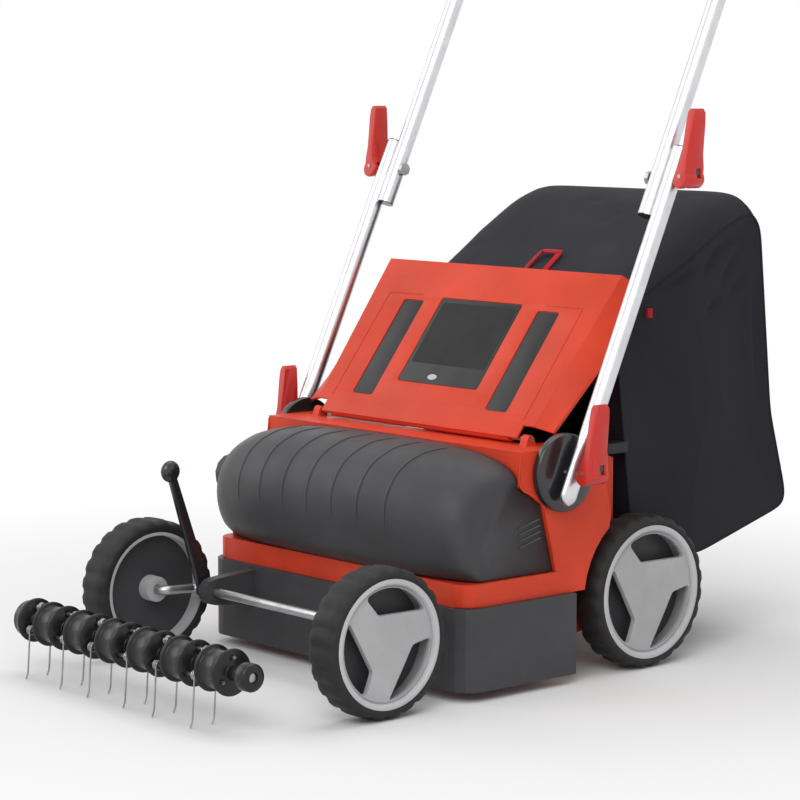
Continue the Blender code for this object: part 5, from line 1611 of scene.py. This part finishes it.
@dataclass
class GrassBag:
    """The soft bag on its frame, with piped seams and a webbing handle."""

    half: float = 0.208
    front_half: float = 0.188
    crown: float = 0.026
    crown_power: int = 12
    strap_x: float = 0.009
    strap_half: float = 0.0180
    columns: int = 49
    rings: int = 36
    softening: int = 18
    hollow: float = 0.007
    mouth_half: float = 0.148
    fold_x: float = 0.203
    fold: float = 0.0065
    scattered: int = 26
    seed: int = 7
    eaves: float = 0.43
    bulge: float = 0.004
    sag: float = 0.0025
    flare_start: float = 0.20
    flare: float = 0.13

    BACK: Flat = (0.44, 0.50)
    BASE: Flat = (0.25, 0.20)
    PLACES: tuple[Flat, ...] = ((-0.2, 0.2), (0.24, 0.50), (0.15, 0.56))
    TURNS: tuple[Flat, ...] = ((-0.5, 0.5), (-0.6, 0.6), (-1.0, 1.0))
    SIZES: tuple[Flat, ...] = ((0.05, 0.12), (0.006, 0.013), (0.0010, 0.0026))
    OUTLINE: tuple[Flat, ...] = ((0.240, 0.128), (0.345, 0.126), (0.508, 0.172),
                                 (0.512, 0.190), (0.480, 0.300), (0.455, 0.545),
                                 (0.436, 0.564), (0.392, 0.548), (0.300, 0.492),
                                 (0.206, 0.438))
    SPLITS: tuple[int, ...] = (24, 36, 9, 30, 54, 9, 15, 27, 27, 60)
    FOLDS: tuple[tuple[Flat, Flat], ...] = (
        ((0.262, 0.464), (0.352, 0.500)), ((0.345, 0.503), (0.446, 0.549)),
        ((0.352, 0.488), (0.380, 0.524)), ((0.402, 0.452), (0.438, 0.486)),
        ((0.362, 0.436), (0.388, 0.454)), ((0.392, 0.478), (0.418, 0.512)),
        ((0.462, 0.330), (0.450, 0.470)))
    STRAP: tuple[Point, ...] = ((0.0, 0.2400, 0.0012), (0.0, 0.2520, 0.0042),
                                (0.0004, 0.2630, 0.0062), (0.0016, 0.2690, 0.0072),
                                (0.0055, 0.2708, 0.0074))

    @property
    def mouth(self) -> int:
        """Return the number of the outline's first point in the mouth's wall."""
        return sum(self.SPLITS[:-1])

    def outline(self) -> list[Flat]:
        """Return the side outline, split up and with its corners softened.

        Returns:
            Points as (y, z).
        """
        points = []
        ends = self.OUTLINE[1:] + self.OUTLINE[:1]
        for a, b, splits in zip(self.OUTLINE, ends, self.SPLITS):
            points += [(a[0] + (b[0] - a[0]) * k / splits,
                        a[1] + (b[1] - a[1]) * k / splits) for k in range(splits)]
        for _ in range(self.softening):
            soft = [tuple(0.25 * a + 0.5 * b + 0.25 * c for a, b, c in zip(*near))
                    for near in zip(points, points[1:], points[2:self.mouth + 1])]
            points[1:1 + len(soft)] = soft
        return points

    def crowned(self, share: float) -> float:
        """Return how far the top stands up at a share of the half width."""
        return self.crown * (1 - min(abs(share), 1.0) ** self.crown_power)

    def place(self, share: float, y: float, z: float) -> Vector:
        """Return a point of the sagging cloth.

        Args:
            share: From -1 at the left side to 1 at the right side.
            y: The outline's distance behind the middle of the wheelbase.
            z: The outline's height.

        Returns:
            The point in the row frame.
        """
        middle = 1 - share ** 2
        (back_y, back_z), (base_y, base_z) = self.BACK, self.BASE
        rise = self.crowned(share) if z > self.eaves else 0.0
        bulge = self.bulge * middle if y > back_y and z < back_z else 0.0
        sag = self.sag * middle if y > base_y and z < base_z else 0.0
        depth = min(max((y - self.flare_start) / self.flare, 0.0), 1.0)
        half = self.front_half + (self.half - self.front_half) * depth
        return at(share * half, y - bulge, z + rise + sag)

    def shell(self) -> None:
        """Build the cloth shell with creases, open at its mouth."""
        outline = self.outline()
        bm = bmesh.new()
        grid = []
        for k in range(self.columns):
            share = math.sin((k / (self.columns - 1) - 0.5) * math.pi)
            grid.append([bm.verts.new(self.place(share, y, z)) for y, z in outline])
        count = len(outline)
        for first, second in zip(grid, grid[1:]):
            for i in range(count):
                j = (i + 1) % count
                middle = (first[i].co + second[i].co) / 2
                if self.mouth < i < count - 1 and abs(middle.x) < self.mouth_half:
                    continue
                bm.faces.new((first[i], first[j], second[j], second[i]))
        self.sides(bm, grid)
        self.wrinkle(bm)
        cloth = piece("bag_cloth_shell", bm,
                      Look(Finish.CLOTH, "grass_bag", ("bag_shell",), angle=58))
        thicken(cloth, 0.0016)

    def sides(self, bm: Mesh, grid: list) -> None:
        """Fill both side walls with rings that shrink to the middle.

        Args:
            bm: The bag's mesh.
            grid: Its columns of vertices.
        """
        for column, sign in ((grid[0], -1), (grid[-1], 1)):
            heart = sum((v.co for v in column), Vector()) / len(column)
            ring = column
            for step in range(1, self.rings):
                t = step / self.rings
                hollow = self.hollow * math.sin(min(t * 1.25, 1.0) * math.pi)
                hollow *= 0.6 + 0.4 * t
                spots = [vert.co.lerp(heart, t) for vert in column]
                inner = [bm.verts.new((p.x - sign * hollow, p.y, p.z)) for p in spots]
                bridge(bm, ring, inner)
                ring = inner
            bridge(bm, ring, [bm.verts.new(heart)])

    def creases(self) -> list[tuple[Vector, Vector, float, float, float]]:
        """Return scattered soft creases and the folds of both side walls.

        Returns:
            Each crease's middle, direction, reach, width and depth.
        """
        def drawn(ranges: Sequence[Flat]) -> list[float]:
            """Draw one number from each range."""
            return [random.uniform(*ends) for ends in ranges]

        random.seed(self.seed)
        found = []
        for _ in range(self.scattered):
            start = Vector(drawn(self.PLACES))
            turn = Vector(drawn(self.TURNS)).normalized()
            found.append((at(*start), turn, *drawn(self.SIZES)))
        for ends in self.FOLDS:
            for sign in (-1, 1):
                low, high = (at(sign * self.fold_x, *end) for end in ends)
                found.append(((low + high) / 2, (high - low).normalized(),
                              (high - low).length * 0.50, self.fold, self.fold))
        return found

    def wrinkle(self, bm: Mesh) -> None:
        """Press long soft creases into the cloth, inwards only.

        Args:
            bm: The bag's mesh.
        """
        creases = self.creases()
        centre = at(0, 0.36, 0.34)
        for vert in bm.verts:
            depth = 0.0
            for spot, turn, reach, width, deep in creases:
                arm = vert.co - spot
                run = arm.dot(turn)
                off = (arm - turn * run).length
                depth += (deep * math.exp(-(off / width) ** 2)
                          * math.exp(-(run / reach) ** 2))
            vert.co += (centre - vert.co).normalized() * min(depth, self.fold)

    def piping(self) -> None:
        """Build the cord sewn along both side seams and the top seam."""
        shapes = []
        outline = self.outline()
        for sign in (-1, 1):
            ring = [self.place(sign, y, z) for y, z in outline]
            heart = sum(ring, Vector()) / len(ring)
            path = [p.lerp(heart, 0.004) - RIGHTWARD * (sign * 0.0014) for p in ring]
            shapes.append(tube([*path, path[0].copy()], 0.0021, 8, False))
        crest = outline[sum(self.SPLITS[:6])]
        cross = [self.place(math.sin((s / 40 - 0.5) * math.pi), *crest)
                 - Vector((0, 0, 0.0006)) for s in range(1, 40)]
        shapes.append(tube(cross, 0.0016, 8))
        piece("bag_piping", gathered(*shapes),
              Look(Finish.PIPING, "grass_bag", angle=60))

    def top(self, x: float, y: float) -> float:
        """Return the height of the sloping top.

        Args:
            x: Distance to the machine's right.
            y: Distance behind the middle of the wheelbase.

        Returns:
            The height above the ground.
        """
        (back_y, back_z), (front_y, front_z) = self.OUTLINE[-2:]
        slope = (back_z - front_z) / (back_y - front_y)
        return front_z + slope * (y - front_y) + self.crowned(x / self.half)

    def handle(self) -> None:
        """Build the flat webbing loop on the sloping top and the small side tab."""
        arm = [(self.strap_half - inset, y, up) for inset, y, up in self.STRAP]
        ends = [(-x, y, up) for x, y, up in arm] + arm[::-1]
        knots = [at(self.strap_x + x, y, self.top(x, y) + up) for x, y, up in ends]
        band = [(0.0038, -0.0010), (0.0038, 0.0010), (-0.0038, 0.0010),
                (-0.0038, -0.0010)]
        strap = swept(smooth_path(knots, 8), lambda _: band,
                      across=Vector((0.9, 0.1, 0.2)))
        piece("bag_strap", strap, Look(Finish.WEBBING, "grass_bag", ("bag_handle",),
                                       bevel=0.0004, rounds=2))
        patches = []
        for sign in (-1, 1):
            x = self.strap_x + sign * self.strap_half
            patch = rectangle(x - 0.009, x + 0.009, 0.229, 0.244)
            patches.append(loft([[at(px, y, self.top(px, y) + up) for px, y in patch]
                                 for up in (-0.0004, 0.0012)]))
        patches.append(prism(rectangle(0.257, 0.266, 0.434, 0.446), 0.1935, 0.1978))
        piece("bag_strap_patches", gathered(*patches),
              Look(Finish.WEBBING, "grass_bag", bevel=0.0003, rounds=2))

    def build(self) -> None:
        """Build the bag."""
        self.shell()
        self.piping()
        self.handle()
        dress("bag_frame", Finish.BAG_EDGE, 0.0015, 3)


# Reel ----------------------------------------------------------------------


@dataclass
class TineReel:
    """The loose reel: shaft, spools, three sprung rods and an end block."""

    y: float = -0.385
    z: float = 0.0684
    x: float = -0.003
    pitch: float = 0.033
    spools: int = 6
    disc: float = 0.0275
    disc_half: float = 0.002
    stagger: float = 0.004
    drum: float = 0.0225
    ring: float = 0.0178
    rod: float = 0.0022
    wire: float = 0.0011
    coil: float = 0.0049
    curls: float = 2.25
    coil_pitch: float = 0.0031
    tine: float = 0.052
    tip: float = 0.008
    end: float = 0.030

    BLOCK: tuple[Flat, ...] = ((0.0063, 0.0), (0.0100, 0.0), (0.0104, 0.0004),
                               (0.0104, 0.004), (0.0138, 0.004), (0.0158, 0.0052),
                               (0.0164, 0.0072), (0.0164, 0.0190), (0.0150, 0.0212),
                               (0.0120, 0.0220), (0.0063, 0.0220))

    @property
    def start(self) -> float:
        """Return the reel's left end."""
        length = self.pitch * (2 * self.spools + 0.5)
        return self.x - (length + self.end) / 2

    @property
    def centres(self) -> list[float]:
        """Return the middles of the double spools along X."""
        return [self.start + self.pitch * (2 * k + 1.5) for k in range(self.spools)]

    @property
    def rods(self) -> list[Point]:
        """Place the three rods round the shaft.

        Returns:
            Each rod's (y, z) and the direction of its tines.
        """
        down, back = math.radians(266), math.radians(338)
        places = []
        for angle, heading in ((210, down), (330, down), (90, back)):
            turn = math.radians(angle)
            places.append((self.y + self.ring * math.cos(turn),
                           self.z + self.ring * math.sin(turn), heading))
        return places

    def spool(self, number: int, x: float, double: bool) -> None:
        """Build one spool with thin rounded discs.

        Args:
            number: The spool's number.
            x: Its middle.
            double: Whether it has a disc on both sides.
        """
        rim, reach = self.disc, self.pitch - 0.0003
        half, thick = self.pitch / 2, self.disc_half
        right = [(0.0064, reach), (0.0088, reach), (0.0090, reach - 0.0006),
                 (0.0092, half + thick + 0.0012), (0.0105, half + thick),
                 (rim - 0.0012, half + thick), (rim - 0.0003, half + thick * 0.55),
                 (rim, half), (rim - 0.0003, half - thick * 0.55),
                 (rim - 0.0012, half - thick), (self.drum + 0.0012, half - thick),
                 (self.drum, half - thick - 0.0012)]
        left = ([(radius, -v) for radius, v in reversed(right)] if double
                else [(self.drum, 0.0), (0.0064, 0.0)])
        profile = [(radius, x + v) for radius, v in right + left]
        hole = self.rod + 0.0003
        cutters = [prism(oval(hole, hole, 16, (y, z)), x - 0.03, x + 0.03)
                   for y, z, _ in self.rods]
        piece(f"reel_spool_{number}_round", turned(profile, self.y, self.z, 1, 64),
              Look(Finish.REEL, "tine_reel", (f"reel_spool_{number}",), angle=40,
                   cutters=cutters))

    def spring(self, x: float, y: float, z: float, heading: float) -> Mesh:
        """Return one spring with its tine.

        Args:
            x: Where its foot leaves the rod.
            y: The rod's place along Y.
            z: The rod's height.
            heading: The tine's direction.

        Returns:
            A round wire.
        """
        last = heading - math.pi / 2
        steps = int(self.curls * 16)
        span = self.coil_pitch * self.curls
        path = [at(x, y, z)]
        for k in range(steps + 1):
            angle = last - TAU * self.curls * (1 - k / steps)
            path.append(at(x + span * k / steps, y + self.coil * math.cos(angle),
                           z + self.coil * math.sin(angle)))
        run = Vector((0, math.cos(heading), math.sin(heading)))
        turn = heading + math.radians(-20)
        tip = Vector((0, math.cos(turn), math.sin(turn)))
        path.append(path[-1] + run * (self.tine - 0.003))
        path.append(path[-1] + run * 0.003 + tip * 0.001)
        path.append(path[-1] + tip * (self.tip - 0.001))
        return tube(path, self.wire * 0.97, 10)

    def sprung_rod(self, number: int, place: Point) -> None:
        """Build one rod with its row of springs.

        Args:
            number: The rod's number.
            place: The rod's (y, z) and its tines' direction.
        """
        y, z, heading = place
        over = self.disc_half + self.stagger
        ends = (self.start - over, self.centres[-1] + self.pitch / 2 + over)
        shapes = [tube([at(x, y, z) for x in ends], self.rod, 16)]
        for k, x in enumerate(self.centres):
            shift = self.stagger if k % 2 else -self.stagger
            foot = x - self.pitch + shift - self.coil_pitch * self.curls / 2
            shapes.append(self.spring(foot, y, z, heading))
        piece(f"tine_rod_{number}_round", gathered(*shapes),
              Look(Finish.WIRE, "tine_reel", (f"tine_rod_{number}",), angle=50))

    def ends(self) -> None:
        """Build the round shaft and the bearing block on its end."""
        low = self.start - self.pitch / 2 - 0.001
        block = self.centres[-1] + self.pitch + 0.003
        shaft = tube([at(x, self.y, self.z) for x in (low, block + 0.019)], 0.006, 40)
        piece("reel_shaft_round", shaft,
              Look(Finish.STEEL, "tine_reel", ("reel_shaft",), bevel=0.0006))
        profile = [(radius, block + d) for radius, d in self.BLOCK]
        piece("reel_end_block", turned(profile, self.y, self.z, 1, 64),
              Look(Finish.REEL, "reel_block", ("reel_bearing_block",), angle=40))

    def build(self) -> None:
        """Build the whole reel."""
        self.spool(0, self.start - self.pitch / 2, False)
        for number, x in enumerate(self.centres, 1):
            self.spool(number, x, True)
        for number, place in enumerate(self.rods, 1):
            self.sprung_rod(number, place)
        self.ends()


# Studio --------------------------------------------------------------------


@dataclass
class Studio:
    """The floor, the soft lights and the camera."""

    camera_place: Point = (2.5311, -2.1823, 0.7245)
    azimuth: float = 49.03
    pitch: float = 6.69
    focal: float = 154.54
    zoom: float = 0.78
    floor_half: float = 15.0
    floor_z: float = -0.0006
    white_near: float = 0.50
    white_far: float = 1.35
    ambient: float = 0.42
    aim: Point = (0.0, 0.05, 0.30)

    LAMPS: tuple[tuple[str, Point, float, float], ...] = (
        ("key", (2.4, -2.8, 3.0), 2.6, 80.0), ("fill", (-3.2, -2.2, 2.2), 3.0, 38.0),
        ("top", (0.2, 0.6, 3.6), 3.0, 38.0))

    def camera(self) -> None:
        """Place the camera at the photograph's viewing angle."""
        data = bpy.data.cameras.new("camera")
        data.sensor_width = 36.0
        data.lens = self.focal * self.zoom
        data.clip_end = 60.0
        camera = linked("camera", data)
        camera.location = at(*self.camera_place)
        camera.rotation_euler = (math.radians(90 - self.pitch), 0,
                                 math.radians(self.azimuth))
        bpy.context.scene.camera = camera

    def lamp(self, name: str, place: Point, size: float, power: float) -> None:
        """Add one square soft light that faces the machine.

        Args:
            name: The light's name.
            place: Where it stands, from the middle of the wheelbase.
            size: Its side.
            power: Its power, in watts.
        """
        data = bpy.data.lights.new(name, "AREA")
        data.shape = "SQUARE"
        data.size = size
        data.energy = power
        lamp = linked(name, data)
        lamp.location = at(*place)
        aim = at(*self.aim) - lamp.location
        lamp.rotation_euler = aim.to_track_quat("-Z", "Y").to_euler()

    @staticmethod
    def blend(tree: bpy.types.NodeTree, factor: object,
              shaders: Sequence[bpy.types.Node], output: str) -> None:
        """Show a mix of two shaders on an output node's surface.

        Args:
            tree: The node tree that holds them.
            factor: The socket that says how much of the second one shows.
            shaders: Both shader nodes.
            output: The output node's name.
        """
        mix = tree.nodes.new("ShaderNodeMixShader")
        sources = (factor, *(shader.outputs[0] for shader in shaders))
        for socket, source in zip(mix.inputs, sources):
            tree.links.new(source, socket)
        tree.links.new(mix.outputs[0], tree.nodes[output].inputs["Surface"])

    def seen(self, tree: bpy.types.NodeTree) -> object:
        """Return a factor that is 1 for camera, glossy and passing rays.

        Args:
            tree: The node tree that it is made in.

        Returns:
            The factor's socket.
        """
        path = tree.nodes.new("ShaderNodeLightPath")
        total = path.outputs["Is Camera Ray"]
        for name in ("Is Glossy Ray", "Is Transmission Ray"):
            node = tree.nodes.new("ShaderNodeMath")
            node.operation = "MAXIMUM"
            tree.links.new(total, node.inputs[0])
            tree.links.new(path.outputs[name], node.inputs[1])
            total = node.outputs[0]
        return total

    def world(self) -> None:
        """Light the scene from all round and show a white background."""
        world = bpy.data.worlds.new("studio")
        bpy.context.scene.world = world
        world.use_nodes = True
        tree = world.node_tree
        glow, white = tree.nodes["Background"], tree.nodes.new("ShaderNodeBackground")
        for node, strength in ((glow, self.ambient), (white, 1.0)):
            node.inputs["Color"].default_value = (1.0, 1.0, 1.0, 1.0)
            node.inputs["Strength"].default_value = strength
        self.blend(tree, self.seen(tree), (glow, white), "World Output")

    def floor(self) -> None:
        """Add a wide pale floor that is seen as white away from the machine."""
        bm = bmesh.new()
        bmesh.ops.create_grid(bm, x_segments=2, y_segments=2, size=self.floor_half)
        floor = temp_object(bm, "floor")
        floor.location = (0, 0, self.floor_z)
        graph = Graph("pale_floor")
        graph.colour((0.94, 0.94, 0.94))
        graph.set(Roughness=0.85, Specular_IOR_Level=0.1)
        tree = graph.material.node_tree
        apart = graph.add("VectorMath")
        apart.operation = "LENGTH"
        graph.links.new(graph.place, apart.inputs[0])
        distance = graph.ranged(apart.outputs["Value"], 0.0, 1.0,
                                self.white_near, self.white_far)
        factor = graph.maths("MULTIPLY", distance, self.seen(tree))
        self.blend(tree, factor, (graph.shader, graph.add("Emission")),
                   "Material Output")
        floor.data.materials.append(graph.material)

    def build(self) -> None:
        """Build the studio."""
        self.camera()
        for lamp in self.LAMPS:
            self.lamp(*lamp)
        self.world()
        self.floor()
        bpy.context.scene.view_settings.view_transform = "Standard"


def main() -> None:
    """Build the studio and the machine, piece by piece."""
    logging.basicConfig(level=logging.INFO, format="%(message)s")
    Studio().build()
    RunningGear().build()
    Housing().build()
    Flap().build()
    Handle().build()
    GrassBag().build()
    TineReel().build()


if __name__ == "__main__":
    main()
